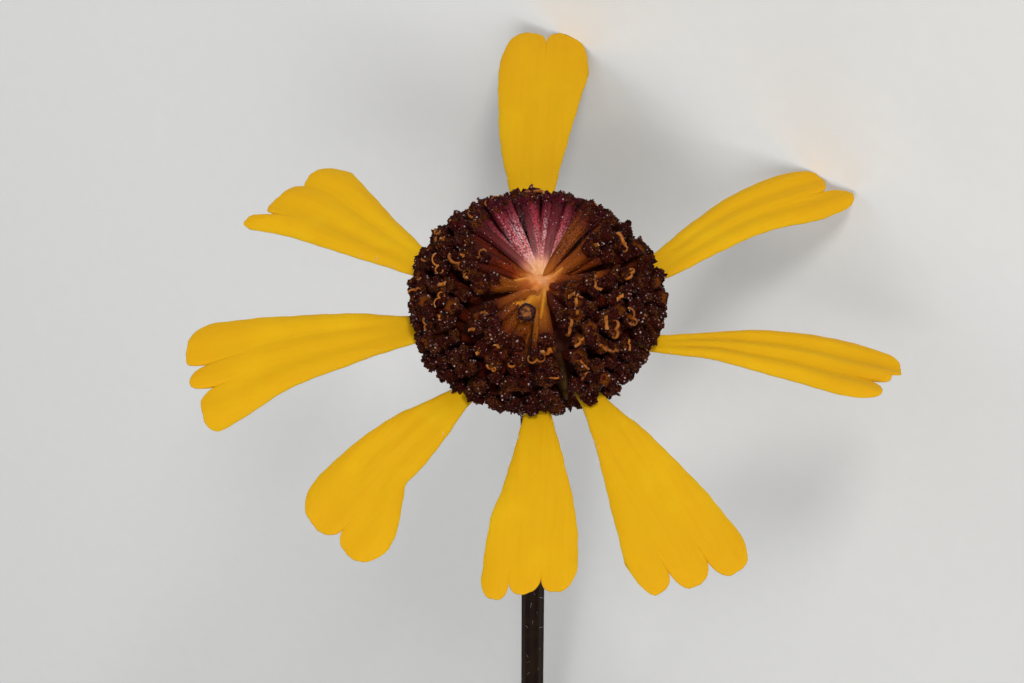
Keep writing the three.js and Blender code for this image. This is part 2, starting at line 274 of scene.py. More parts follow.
# One shape strewn over a surface, as thickly as its stored cover says, standing off it
def strewTree():
    graph, start = newTree("strewnOverSurface", {
        "Shape": "Object", "Cover": "String", "Seed": "Int", "Material": "Material",
        **dict.fromkeys(("Density", "Spacing", "Thinnest", "Thickest", "Shortest", "Longest", "Lean", "Sink"),
                        "Float")})
    seed = start["Seed"]
    lean = start["Lean"]
    spread = graph.node("GeometryNodeDistributePointsOnFaces", {"distribute_method": "POISSON"}, {
        "Mesh": start["Geometry"], "Distance Min": start["Spacing"], "Density Max": start["Density"],
        "Density Factor": graph.stored(start["Cover"]), "Seed": seed})
    sway = graph.random(seed, (-1, -1, -1), (1, 1, 1), "FLOAT_VECTOR")
    leaning = graph.vector("MULTIPLY_ADD", sway, graph.join(lean, lean, lean), spread["Normal"])
    standing = graph.node("FunctionNodeAlignRotationToVector", {"axis": "Z"}, {"Vector": leaning})
    spin = graph.node("FunctionNodeAxisAngleToRotation", None, {
        "Axis": (0, 0, 1), "Angle": graph.random(seed, 0, math.tau)})
    spun = graph.node("FunctionNodeRotateRotation", {"rotation_space": "LOCAL"}, {
        "Rotation": standing, "Rotate By": spin})
    thick = graph.random(seed, start["Thinnest"], start["Thickest"])
    long = graph.random(seed, start["Shortest"], start["Longest"])
    offset = graph.node("ShaderNodeVectorMath", {"operation": "SCALE"}, {
        "Vector": spread["Normal"], "Scale": 0 - start["Sink"]})
    sunk = graph.node("GeometryNodeSetPosition", None, {"Geometry": spread["Points"], "Offset": offset})
    strewn = graph.node("GeometryNodeInstanceOnPoints", None, {
        "Points": graph.store(sunk, "tone", graph.random(seed, 0, 1)),
        "Instance": graph.shape(start["Shape"]), "Rotation": spun, "Scale": graph.join(thick, thick, long)})
    endTree(graph, strewn, start["Material"])
    return graph


# A ridged tube along a path of points that store its girth
def pathTree():
    graph, start = newTree("ridgedTube", {"Sides": "Int", "Steps": "Int", "Ridges": "Float",
                                          "Ridge Depth": "Float", "Material": "Material"})
    path = graph.node("GeometryNodeResampleCurve", None, {
        "Curve": graph.node("GeometryNodeMeshToCurve", None, {"Mesh": start["Geometry"]}),
        "Count": start["Steps"]})
    along = graph.node("GeometryNodeSplineParameter")["Factor"]
    angle = along * math.tau
    ridge = graph.maths("COSINE", angle * start["Ridges"])
    swell = ridge * start["Ridge Depth"]
    ring = graph.node("GeometryNodeCurvePrimitiveCircle", {"mode": "RADIUS"},
                      {"Resolution": start["Sides"], "Radius": 1})
    section = graph.node("GeometryNodeSetPosition", None, {
        "Geometry": ring,
        "Offset": graph.join(graph.maths("COSINE", angle) * swell, graph.maths("SINE", angle) * swell, 0)})
    tube = graph.node("GeometryNodeCurveToMesh", None, {
        "Curve": graph.store(path, "along", along), "Profile Curve": graph.store(section, "ridge", ridge),
        "Scale": graph.stored("girth"), "Fill Caps": True})
    corners = graph.node("GeometryNodeInputMeshFaceNeighbors")["Vertex Count"]
    cut = graph.store(tube, "cut", graph.maths("GREATER_THAN", corners, 4.5), "FACE")
    smooth = graph.node("GeometryNodeSetShadeSmooth", None, {
        "Geometry": cut, "Shade Smooth": graph.maths("LESS_THAN", corners, 4.5)})
    endTree(graph, smooth, start["Material"])
    return graph


# Meshes and objects
def newMesh(name, points, faces, numbers=None, material=None, edges=()):
    mesh = bpy.data.meshes.new(name)
    mesh.from_pydata(np.asarray(points, float).tolist(), edges, faces)
    if faces:
        mesh.polygons.foreach_set("use_smooth", [True] * len(faces))
    for label, values in (numbers or {}).items():
        values = np.asarray(values, np.float32)
        vectors = values.ndim == 2
        layer = mesh.attributes.new(label, "FLOAT_VECTOR" if vectors else "FLOAT", "POINT")
        layer.data.foreach_set("vector" if vectors else "value", values.ravel())
    if material:
        mesh.materials.append(material)
    return addObject(name, mesh)


def grow(name, source, graph, values):
    modifier = source.modifiers.new("grow", "NODES")
    modifier.node_group = graph.tree
    for item in graph.tree.interface.items_tree:
        if item.in_out == "INPUT" and item.name in values:
            modifier[item.identifier] = values[item.name]
    depsgraph = bpy.context.evaluated_depsgraph_get()
    mesh = bpy.data.meshes.new_from_object(source.evaluated_get(depsgraph), preserve_all_data_layers=True,
                                           depsgraph=depsgraph)
    mesh.name = name
    source.modifiers.remove(modifier)
    return addObject(name, mesh)


def discard(*objects):
    for one in objects:
        bpy.data.objects.remove(one)


# A piece of many like parts: which of three shapes stands at each place, its aim, spin, size and tone
def growSeated(name, shapes, plan, lengths, finish, numbers=None):
    turned = []
    for aim, spin in zip(plan["aim"] @ turn.T, plan["spin"]):
        aimed = Vector(aim).to_track_quat("Z", "Y").to_matrix() @ Matrix.Rotation(spin, 3, "Z")
        turned.append(tuple(aimed.to_euler()))
    spots = newMesh("seats", laidDown(plan["place"]), [], {
        "turned": turned, "girth": plan["size"], "length": lengths, "kind": plan["kind"],
        "tone": plan["tone"], **(numbers or {})})
    piece = grow(name, spots, seating, {
        **dict(zip(shapeLabels, shapes)), "Girth": mm, "Length": mm, "Material": finish})
    discard(spots, *shapes)
    return piece


def strew(name, source, shape, finish, values, slot):
    piece = grow(name, source, strewing, {"Shape": shape, "Material": finish, **values})
    keepAboveSurface(piece)
    finishPiece(piece, slot)


def finishPiece(piece, slot, *nodes):
    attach(piece, "root")
    if nodes:
        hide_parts(*nodes)
    print(f"{piece.name}: {sum(len(p.vertices) - 2 for p in piece.data.polygons)} triangles")


def keepAboveSurface(piece):      # nothing reaches below what the flower lies on
    points = np.empty(len(piece.data.vertices) * 3, np.float32)
    piece.data.vertices.foreach_get("co", points)
    points[2::3] = np.maximum(points[2::3], 0)
    piece.data.vertices.foreach_set("co", points)
    piece.data.update()


# Rings of equal count, listed from one end to the other, closed by a point or a cap at each end
def ringFaces(rings, sides):
    faces = [tuple(reversed(range(sides)))]
    for i in range(rings - 1):
        for k in range(sides):
            a = i * sides + k
            b = i * sides + (k + 1) % sides
            faces.append((a, b, b + sides, a + sides))
    faces.append(tuple(range((rings - 1) * sides, rings * sides)))
    return faces


# A sheet with two faces: the upper grid of points first, then the lower one, walled round the rim
def sheetFaces(rows, columns):
    size = rows * columns
    faces = []
    for i in range(rows - 1):
        for j in range(columns - 1):
            a = i * columns + j
            faces.append((a, a + columns, a + columns + 1, a + 1))
            faces.append((size + a, size + a + 1, size + a + columns + 1, size + a + columns))
    rim = list(range(columns - 1))
    rim += [i * columns + columns - 1 for i in range(rows - 1)]
    rim += [(rows - 1) * columns + j for j in range(columns - 1, 0, -1)]
    rim += [i * columns for i in range(rows - 1, 0, -1)]
    for a, b in zip(rim, rim[1:] + rim[:1]):
        faces.append((a, b, size + b, size + a))
    return faces


def curve(points, x):      # smooth curve through a few [x, y] points
    xs, ys = np.array(points, float).T
    slopes = np.empty(len(xs))
    slopes[1:-1] = (ys[2:] - ys[:-2]) / (xs[2:] - xs[:-2])
    slopes[0] = (ys[1] - ys[0]) / (xs[1] - xs[0])
    slopes[-1] = (ys[-1] - ys[-2]) / (xs[-1] - xs[-2])
    x = np.clip(x, xs[0], xs[-1])
    i = np.clip(np.searchsorted(xs, x, side="right") - 1, 0, len(xs) - 2)
    h = xs[i + 1] - xs[i]
    t = (x - xs[i]) / h
    start = (2 * t**3 - 3 * t**2 + 1) * ys[i] + (t**3 - 2 * t**2 + t) * h * slopes[i]
    return start + (3 * t**2 - 2 * t**3) * ys[i + 1] + (t**3 - t**2) * h * slopes[i + 1]


def ease(t):
    t = np.clip(t, 0, 1)
    return t * t * (3 - 2 * t)


def unit(vectors):
    return vectors / np.linalg.norm(vectors, axis=-1, keepdims=True)


def polar(r, azimuth, z):
    return np.stack([r * np.cos(azimuth), r * np.sin(azimuth), z], -1)


def swung(x, y, z, a):      # points turned about the axis of the head
    return np.stack([x * math.cos(a) - y * math.sin(a), x * math.sin(a) + y * math.cos(a), z], -1)


seating = seatTree()
strewing = strewTree()
ridging = pathTree()


# Small shapes that are repeated
def hairShape():
    sides, rings = 3, 4
    points = []
    for i in range(rings):
        t = i / (rings - 1)
        for k in range(sides):
            a = k * math.tau / sides
            girth = 1 - 0.8 * t
            points.append((girth * math.cos(a) + 3.5 * t * t, girth * math.sin(a), t))
    return newMesh("hairShape", points, ringFaces(rings, sides))


def grainShape():
    points = [(0, 0, -0.6), (1, 0, 0), (0, 1, 0), (-1, 0, 0), (0, -1, 0), (0, 0, 1)]
    faces = []
    for k in range(4):
        a = 1 + k
        b = 1 + (k + 1) % 4
        faces.append((a, b, 5))
        faces.append((b, a, 0))
    return newMesh("grainShape", points, faces)


hair = hairShape()
grain = grainShape()


# Petals. left and right are the two edges as (distance from the axis, offset across); notches
# are (across from -1 to 1, reach); lobes are (reach, where the peak lies between its notches);
# folds is how deeply the petal is pleated.
petalTable = [
    {"azimuth": 88, "roll": 0, "rise": 0.5, "droop": 1, "folds": 0.4,
     "left": [(3.6, 0.75), (6, 1.2), (9.1, 1.82), (12.9, 2.5), (17.7, 2.8)],
     "right": [(3.6, -0.3), (6, -0.52), (9.4, -0.9), (13.4, -1.63), (17.1, -2.38), (18.5, -2.66)],
     "notches": [(-1, 18.8), (-0.03, 20.9), (1, 18.1)],
     "lobes": [(21.9, 0.64), (21.8, 0.34)]},
    {"azimuth": 26, "roll": -10, "rise": 0.8, "droop": 1, "folds": 0.6,
     "left": [(3.6, 0.4), (6, 0.6), (8, 0.9), (9.3, 1.4), (11.2, 2.28), (14, 3.08), (17.2, 3.45)],
     "right": [(3.6, -0.65), (6, -0.92), (9, -1), (12, -0.74), (15.5, -0.6), (18.5, -1.12)],
     "notches": [(-1, 19.5), (-0.14, 19.2), (1, 17.2)],
     "lobes": [(20.85, 0.5), (19.95, 0.35)]},
    {"azimuth": -11, "roll": -18, "rise": 0.3, "droop": 0.8, "folds": 1.5,
     "left": [(3.6, 0), (7.4, 0), (9, 0.55), (11, 1.45), (13, 2.1), (15.5, 2.58), (17.3, 2.7)],
     "right": [(3.6, -1), (6, -1.2), (8.5, -1.35), (10.8, -1.48), (12.8, -1.72), (15.2, -1.95),
               (18.2, -2.65)],
     "notches": [(-1, 18.3), (-0.27, 19.6), (0.02, 20.8), (1, 17.6)],
     "lobes": [(20.55, 0.5), (20.95, 0.6), (21.4, 0.18)]},
    {"azimuth": -62.5, "roll": 4, "rise": 0.2, "droop": 1, "folds": 0.4,
     "left": [(3.6, 0.55), (7.1, 0.9), (9.6, 1.62), (12.2, 2.22), (14.9, 2.82), (18.6, 3.35)],
     "right": [(3.6, -0.5), (6.7, -0.6), (8.7, -0.98), (10.8, -1.5), (13.2, -2.2), (17.2, -3.35)],
     "notches": [(-1, 17.4), (-0.42, 18.55), (0.25, 19.1), (1, 18.5)],
     "lobes": [(19.7, 0.46), (20.25, 0.38), (20.6, 0.42)]},
    {"azimuth": -92, "roll": 0, "rise": 0.2, "droop": 0.6, "folds": 0.4,
     "left": [(3.6, 0.5), (6.3, 1), (8, 1.42), (10.4, 2.03), (12.8, 2.58), (14.7, 2.85), (16.8, 2.96)],
     "right": [(3.6, -0.5), (7, -0.45), (8.8, -0.75), (12.5, -1.56), (14.2, -2.05), (18.1, -2.45)],
     "notches": [(-1, 18), (-0.42, 18.3), (0.24, 17.9), (1, 16.7)],
     "lobes": [(19.4, 0.55), (19, 0.4), (18.85, 0.38)]},
    {"azimuth": -127, "roll": -4, "rise": 0.4, "droop": 0.9, "folds": 0.5,
     "left": [(3.6, 0.65), (7.9, 0.83), (10.1, 1.08), (12.6, 1.22), (13.7, 1.18), (14.6, 1.65), (16.3, 2.6),
              (17.7, 3.05)],
     "right": [(3.6, -0.5), (6.8, -0.6), (8.4, -1.2), (10.3, -1.95), (14.2, -2.88), (16.2, -3.06)],
     "notches": [(-1, 16.7), (0.07, 18.2), (1, 17.3)],
     "lobes": [(19.1, 0.76), (19.35, 0.55)]},
    {"azimuth": -169, "roll": 0, "rise": 0.6, "droop": 0.9, "folds": 0.5,
     "left": [(3.6, 0.55), (7.7, 0.72), (12.3, 1.72), (14.8, 2.44), (18.4, 4.05), (19.2, 4.35)],
     "right": [(3.6, -0.75), (7.3, -1.35), (9.4, -1.85), (12.2, -2.5), (14.8, -2.83), (18.6, -3.15)],
     "notches": [(-1, 18.3), (-0.24, 18.9), (0.2, 18.9), (1, 19.2)],
     "lobes": [(20.3, 0.86), (20.35, 0.75), (20, 0.5)]},
    {"azimuth": 148, "roll": 6, "rise": 0.4, "droop": 1.2, "folds": 0.6,
     "left": [(3.6, 0.6), (7.6, 1.33), (12.1, 2.3), (15.7, 2.75), (17, 3.17), (17.6, 3.5)],
     "right": [(3.6, -0.4), (7.9, -0.7), (9.5, -1.28), (12.9, -2.66), (14.4, -3.3), (15, -3.55)],
     "notches": [(-1, 15), (-0.28, 16.85), (0.55, 16.7), (1, 17.3)],
     "lobes": [(17, 0.66), (17.7, 0.85), (18.25, 0.8)]},
]

petalLook = {
    "rows": 84,
    "columns": 46,
    "clawStart": 3.6,
    "bendStart": 6,
    "bendLength": 15,
    "bladeStart": 7,
    "fullWidth": 5,       # petals narrower than this are pleated less
    "hairsEnd": 9.5,
    "pleatDepth": 0.1,
    "thickness": 0.36,
    "veins": 11,
    "veinDepth": 0.006,
    "edgeWave": 0.012,
    "tipWave": 0.03,
    "bladeWave": 0.09,
    "gold": (0.69, 0.378, 0.001),
    "amber": (0.67, 0.32, 0.001),
    "lemon": (0.75, 0.46, 0.004),
    "rim": (0.52, 0.34, 0.003),
    "olive": (0.3, 0.22, 0.008),
    # painted shade where the petals run in under the disc
    "claw": (0.05, 0.022, 0.004),
    "baseHairs": {"Density": 9e6, "Spacing": 0.00009, "Thinnest": 0.000009, "Thickest": 0.000014,
                  "Shortest": 0.00022, "Longest": 0.00046, "Lean": 0.55, "Sink": 0.00001, "Cover": "fuzz"},
    "hairSeed": 39,
}


def paintPetal(graph):
    # along and aside are in mm from the axis and the middle line, across goes from -1 to 1
    along, aside, across = graph.values("along", "aside", "across")
    edge = graph.maths("ABSOLUTE", across)
    streaks = graph.noise(1.6, 3, graph.join(aside * 2.2, along * 0.1, 0))
    clouds = graph.noise(300, 3)
    velvet = graph.noise(14000, 2)
    colour = graph.blend(graph.between(streaks, 0.42, 0.8) * 0.5, petalLook["gold"], petalLook["amber"])
    colour = graph.blend(graph.between(clouds, 0.45, 0.75) * 0.5, colour, petalLook["lemon"])
    colour = graph.blend(graph.between(along + clouds * 3, 15, 22) * 0.4, colour, petalLook["amber"])
    colour = graph.blend(graph.between(edge, 0.9, 1) * 0.35, colour, petalLook["rim"])
    base = 1 - graph.between(along + streaks * 0.8, 5.7, 7.5)
    colour = graph.blend(base, colour, petalLook["olive"])
    # painted shade: the claws darken to near black where they run in under the disc
    colour = graph.blend(1 - graph.between(along, 5.6, 6.7), colour, petalLook["claw"])
    return colour, 0.62 + clouds * 0.2, velvet * 0.6 + streaks * 0.15


petalFinish = newFinish("goldenPetal", paintPetal, bump=0.4, depth=0.03, specular=0.14, sockets={
    "Sheen Weight": 0.03, "Sheen Roughness": 0.4, "Sheen Tint": (1, 0.83, 0.35),
    "Subsurface Weight": 0.22, "Subsurface Radius": (0.9, 0.45, 0.06), "Subsurface Scale": 0.0006})


def paintHair(graph):
    tone = graph.value("tone")
    return graph.blend(tone, (0.8, 0.78, 0.7), (0.95, 0.94, 0.9)), 0.35 + tone * 0.2, tone


hairFinish = newFinish("whiteHair", paintHair, bump=0.1, sockets={
    "Subsurface Weight": 0.3, "Subsurface Scale": 0.00005})


def reach(petal, v):      # how far out the lobed tip reaches at v across the petal
    notches = petal["notches"]
    i = next((k for k in range(len(petal["lobes"])) if v <= notches[k + 1][0]), 0)
    (v0, low0), (v1, low1) = notches[i], notches[i + 1]
    top, peak = petal["lobes"][i]
    t = (v - v0) / (v1 - v0)
    away = 1 - t / peak if t < peak else (t - peak) / (1 - peak)
    low = low0 if t < peak else low1
    return low + (top - low) * max(0, 1 - away**2.5) ** 0.55


# Columns across a petal, closest together beside its edges and notches where the lobes curve round
def columnsOf(petal):
    parts = []
    for (first, _), (last, _) in zip(petal["notches"], petal["notches"][1:]):
        steps = round(petalLook["columns"] * (last - first) / 2)
        parts.append(first + (last - first) * (1 - np.cos(np.linspace(0, math.pi, steps + 1)[:-1])) / 2)
    return np.append(np.concatenate(parts), 1)


# Middle surface of a petal at s from the axis and v across: the model's, with finer waves
def petalSurface(petal, number, s, v):
    look = petalLook
    wave = look["edgeWave"] * np.abs(v) ** 3 * (np.sin(2.3 * s + number) + np.sin(5.1 * s + 2.7 * number))
    left = curve(petal["left"], s) + wave
    right = curve(petal["right"], s) + wave
    aside = (left + right) / 2 + v * (left - right) / 2
    roll = math.radians(petal["roll"]) * ease((s - look["bendStart"]) / 5)
    t = np.maximum(0, s - look["bendStart"]) / look["bendLength"]
    blade = ease((s - look["bladeStart"]) / 4)
    width = np.clip((left - right) / look["fullWidth"], 0, 1)
    pleat = look["pleatDepth"] * np.cos(3 * math.pi * v)
    pleat = (pleat + look["veinDepth"] * np.cos(look["veins"] * math.pi * v)) * width * petal["folds"]
    ripple = v * np.sin(0.62 * s + 1.7 * number) + 0.5 * v * v * np.sin(1.1 * s + 2.3 * number)
    z = petal["rise"] * t - petal["droop"] * t * t + aside * np.sin(roll)
    z = z + blade * (pleat + look["bladeWave"] * ripple)
    return swung(s, aside * np.cos(roll), z, math.radians(petal["azimuth"])), aside


def makePetal(petal, number):
    look = petalLook
    columns = columnsOf(petal)
    tips = np.array([reach(petal, v) for v in columns])
    tips = tips + look["tipWave"] * (np.sin(15 * columns + 2 * number) + 0.6 * np.sin(34 * columns + number))
    rows = 1 - (1 - np.linspace(0, 1, look["rows"])) ** 1.25
    s = look["clawStart"] + np.outer(rows, tips - look["clawStart"])
    v = np.broadcast_to(columns, s.shape)
    middle, aside = petalSurface(petal, number, s, v)
    ahead, _ = petalSurface(petal, number, s + 0.05, v)
    over, _ = petalSurface(petal, number, s, v + 0.01)
    normal = unit(np.cross(ahead - middle, over - middle))
    thin = (1 - 0.8 * np.abs(v) ** 8) * (1 - 0.8 * rows[:, None] ** 24)
    half = look["thickness"] / 2 * thin[..., None]
    points = np.concatenate([middle + normal * half, middle - normal * half]).reshape(-1, 3)
    fuzz = ease((0.97 - (1 - np.abs(v))) * 12 - 10) * (1 - ease((s - look["hairsEnd"]) / 3))
    numbers = {"along": np.tile(s.ravel(), 2), "aside": np.tile(aside.ravel(), 2),
               "across": np.tile(v.ravel(), 2),
               "fuzz": np.concatenate([fuzz.ravel(), np.maximum(fuzz, 0.1 * (s < 9)).ravel()])}
    piece = newMesh(f"rayPetal{number}", laidDown(points), sheetFaces(look["rows"], len(columns)), numbers,
                    petalFinish)
    keepAboveSurface(piece)
    return piece


petalPieces = [makePetal(petal, number) for number, petal in enumerate(petalTable, 1)]
for number, piece in enumerate(petalPieces, 1):
    strew(f"petalHairs{number}", piece, hair, hairFinish,
          {**petalLook["baseHairs"], "Seed": petalLook["hairSeed"] + number}, "petal")
    finishPiece(piece, "petal", f"ray_petal_{number}")
print("petals made")


# Disc: where each floret sits, how it is turned and how long its tube is
disc = {
    "centreHeight": 1.4,
    "radius": 6.8,
    "height": 3.7,
    "mouthOut": 0.5,
    "florets": 430,
    "firstAngle": 0.18,
    "lastAngle": 2.3,
    "rimAngle": 1.5,        # florets past it stand outside the parting
    "goldenAngle": 137.508,
    # how far from the axis the parting ends, by azimuth
    "parting": [(-180, 2.9), (-150, 2.6), (-139, 2.7), (-128, 4.2), (-118, 4.8), (-105, 5.1), (-92, 5),
                (-80, 4.5), (-70, 3.8), (-61, 2.9), (-45, 2.7), (-30, 3.2), (-8, 3.6), (17, 3.5), (45, 4.7),
                (62, 5.4), (122, 5.4), (158, 3.3)],
    "partingFloor": 3.3,
    "middle": (0.32, 0.15, 0),      # where the parting's floor lies off the axis
    "footSpread": 0.62,
    "frontLift": 0.45,      # how far the lowest florets in front turn up
    "tubeLength": 2.7,
    "petalGap": 0.2,
    "petalLevel": 0.05,
    "petalRoom": 0.5,
    "seed": 11,
    "strays": {"angle": 0.05, "azimuth": 0.06, "out": 0.16, "aim": 0.17},
    "sizes": (0.86, 1.16),
    # bare flesh: azimuth at its end, how much further round it starts, where it starts and ends, half
    # its width, how far florets keep off
    "arms": [(4, -53, 0.4, 4.6, 0.18, 0.4), (28, -30, 0.3, 2.4, 0.1, 0.15),
             (-160, -16, 0.3, 3, 0.08, 0.1), (-144, 76, 0.8, 4.6, 0.27, 0.4),
             (-104, 0, 0.8, 4.3, 0.4, 0.1), (-86, 14, 0.3, 4.2, 0.26, 0.3), (-75, 0, 4.4, 7.7, 0.22, 0.3)],
    "armReach": 1.1,        # how far to each side an arm moves florets
    "fleshReach": 0.65,     # how far to each side of it tubes turn to flesh
    # where inner tubes are orange-brown: azimuth, half the spread
    "tawny": [(52, 14), (-160, 9), (-105, 18)],
}


def armAzimuth(arm, r):
    last, further, start, end = arm[:4]
    return np.radians(last + further * (1 - np.clip((r - start) / (end - start), 0, 1)) ** 2)


def partingEdge(azimuth):
    directions, reaches = zip(*disc["parting"])
    return np.interp(np.degrees(azimuth), directions, reaches, period=360)


def domeHeight(r):
    return disc["centreHeight"] + disc["height"] * np.sqrt(np.maximum(0, 1 - (r / disc["radius"]) ** 2))


def turnFrom(azimuth, direction):      # between -pi and pi
    return np.remainder(azimuth - direction + math.pi, math.tau) - math.pi


def facing(azimuth, degrees):      # 1 for florets on that side, 0 on the opposite one
    return (1 + np.cos(azimuth - math.radians(degrees))) / 2


def domeSeats(count, out):      # a golden-angle spiral with equal area round each seat
    t = np.linspace(disc["firstAngle"], disc["lastAngle"], 800)
    across = disc["radius"] + out
    tall = disc["height"] + out
    area = np.cumsum(np.sin(t) * np.hypot(across * np.cos(t), tall * np.sin(t)))
    k = np.arange(count)
    angle = np.interp((k + 0.5) / count, area / area[-1], t)
    azimuth = k * math.radians(disc["goldenAngle"])
    return angle, azimuth


def overPetal(points, margin):
    hit = np.zeros(len(points), bool)
    level = np.abs(points[:, 2] - disc["petalLevel"]) < disc["petalRoom"]
    for petal in petalTable:
        a = math.radians(petal["azimuth"])
        s = points[:, 0] * math.cos(a) + points[:, 1] * math.sin(a)
        w = points[:, 1] * math.cos(a) - points[:, 0] * math.sin(a)
        inside = (w < curve(petal["left"], s) + margin) & (w > curve(petal["right"], s) - margin)
        hit |= inside & (s > 0) & level
    return hit


# The last closed bud stands alone beside the parting, a dark round ring with a paler middle
bud = {
    "foot": (-0.5, -2.37, 3.3),
    "top": (-0.5, -3.55, 5.2),
    "room": 1.3,      # no mouth opens nearer to it than this
    "sides": 20,
    # from foot to top: share of the length, radius, how far inside, share of grains
    "rings": [(0, 0.2, 0, 0), (0.38, 0.28, 0, 0), (0.66, 0.4, 0, 1), (0.82, 0.48, 0, 1), (0.91, 0.51, 0, 1),
              (0.97, 0.48, 0, 1), (1, 0.41, 0, 1), (0.995, 0.33, 0.4, 1), (0.975, 0.26, 1, 0.1),
              (0.965, 0.18, 1, 0.1), (0.98, 0.1, 1, 0.1), (0.985, 0.04, 1, 0.1)],
    "dark": [(0, (0.8, 0.34, 0.1)), (0.45, (0.3, 0.06, 0.008)), (0.7, (0.05, 0.007, 0.005)),
             (1, (0.018, 0.004, 0.005))],
    "pale": (0.27, 0.085, 0.016),
}


# Florets step aside for the arms, and the tubes beside those that start at the middle turn to flesh
def besideArms(angle, azimuth):
    across = disc["radius"] * np.sin(angle)
    beside = np.zeros(len(angle))
    flesh = np.zeros(len(angle))
    bare = np.zeros(len(angle), bool)
    for arm in disc["arms"]:
        _, _, start, end, _, push = arm
        direction = armAzimuth(arm, across)
        aside = turnFrom(azimuth, direction)
        near = np.exp(-(aside * across / disc["armReach"]) ** 2)
        near = near * ease((end - across) / 1.2 + 1) * ease((across - start) / 0.8 + 1)
        azimuth = azimuth + np.sign(aside) * push / np.maximum(across, 1) * near
        fromMiddle = start < 1
        beside = np.maximum(beside, np.exp(-(aside / 0.3) ** 2) * fromMiddle)
        aside = turnFrom(azimuth, direction)
        touching = np.exp(-(aside * across / disc["fleshReach"]) ** 2) * ease((end + 1.8 - across) / 0.6)
        flesh = np.maximum(flesh, touching * min(1, push / 0.4) * fromMiddle)
        bare |= (np.abs(aside * across) < 1.8 * push) & (across > start) & (across < end) & (push > 0.35)
    return azimuth, beside, flesh, bare


def planFlorets():
    rng = np.random.default_rng(disc["seed"])
    count = disc["florets"]
    strays = disc["strays"]

    def either(amount):      # a draw for each floret, up to this much either way
        return rng.uniform(-amount, amount, count)

    angle, azimuth = domeSeats(count, disc["mouthOut"])
    angle = angle + either(strays["angle"])
    azimuth = azimuth + either(strays["azimuth"]) / np.maximum(0.35, np.sin(angle))
    azimuth, beside, flesh, bare = besideArms(angle, azimuth)
    clump = np.sin(3 * azimuth + 1.2) * np.sin(5 * angle + 0.4)
    out = disc["mouthOut"] + strays["out"] * clump + either(strays["out"])
    r = (disc["radius"] + out) * np.sin(angle)
    mouths = polar(r, azimuth, disc["centreHeight"] + (disc["height"] + out) * np.cos(angle))
    inside = r - partingEdge(azimuth)
    above = angle < disc["rimAngle"]
    keep = (inside > 0) | ~above
    keep &= ~overPetal(mouths, disc["petalGap"]) & ~bare
    keep &= np.linalg.norm(mouths - np.array(bud["top"]), axis=1) > bud["room"]
    front = facing(azimuth, -90)
    back = facing(azimuth, 92)
    normal = unit(polar(np.sin(angle) / disc["radius"], azimuth, np.cos(angle) / disc["height"]))
    normal[:, 2] += disc["frontLift"] * ease((front - 0.7) / 0.2) * ease((angle - 1.05) / 0.35)
    normal = unit(normal + rng.normal(0, strays["aim"], (count, 3)))
    fan = (1 - ease((inside - 0.7) / 1.9)) * above
    spread = disc["footSpread"] * (1 - 0.6 * ease((back - 0.6) / 0.3))
    spread = spread + rng.uniform(0, 0.4, count) + 0.4 * beside
    centre = polar(spread, azimuth, np.full(count, disc["partingFloor"])) + disc["middle"]
    bases = (mouths - normal * disc["tubeLength"]) * (1 - fan[:, None]) + centre * fan[:, None]
    plan = {"mouth": mouths, "base": bases, "aim": unit(mouths - bases), "angle": angle, "fan": fan,
            "flesh": flesh * fan, "spin": rng.uniform(0, math.tau, count),
            "size": rng.uniform(*disc["sizes"], count), "tone": rng.uniform(0, 1, count),
            "kind": rng.integers(0, 3, count)}
    wide = rng.random(count) < np.where((angle > 1.15) & (front > 0.75), 0.7, 0.02)
    plan["opening"] = np.where(wide, 0, rng.integers(1, 3, count))
    tone = plan["tone"] * (1 - 0.25 * (back > 0.7))
    for direction, half in disc["tawny"]:
        near = np.abs(turnFrom(azimuth, math.radians(direction))) < math.radians(half)
        tone = np.where(near & (fan > 0.5), 0.97, tone)
    plan["tone"] = tone
    plan["blush"] = ease((back - 0.76) / 0.18) * np.where(tone < 0.9, 1, 0.1)
    return {name: values[keep] for name, values in plan.items()}


florets = planFlorets()
print(f"florets planned: {len(florets['mouth'])}")


# Tubes of the florets, ribbed, narrow at the foot and widening to the throat
tubes = {
    "sides": 10,
    "rings": [(0, 0.13), (0.07, 0.22), (0.25, 0.28), (0.55, 0.33), (0.82, 0.38), (1, 0.42)],
    "rib": 0.16,
    "beads": 0.5,
    "bows": (-0.1, 0.02, 0.1),
    "belowMouth": 0.2,      # how far under its mouth a tube ends
    "reddish": [(0, (0.62, 0.22, 0.045)), (0.1, (0.36, 0.08, 0.01)), (0.25, (0.25, 0.03, 0.003)),
                (0.6, (0.19, 0.023, 0.002)), (1, (0.06, 0.006, 0.002))],
    "blushed": [(0, (0.84, 0.42, 0.18)), (0.12, (0.86, 0.4, 0.22)), (0.28, (0.76, 0.21, 0.2)),
                (0.62, (0.44, 0.048, 0.068)), (1, (0.06, 0.006, 0.013))],
    "orange": (0.32, 0.085, 0.006),
    "flesh": [(0, (0.74, 0.32, 0.1)), (0.35, (0.6, 0.195, 0.018)), (0.75, (0.33, 0.09, 0.006)),
              (1, (0.14, 0.04, 0.004))],
    # painted highlight colour for the sheen on the tubes
    "sheen": (0.92, 0.64, 0.68),
    # the colour of painted shade on the tubes; it also darkens some tubes at random
    "shade": (0.035, 0.004, 0.005),
    "rear": 0.4,      # painted shade: how much darker the tubes are that stand behind the innermost ones
}


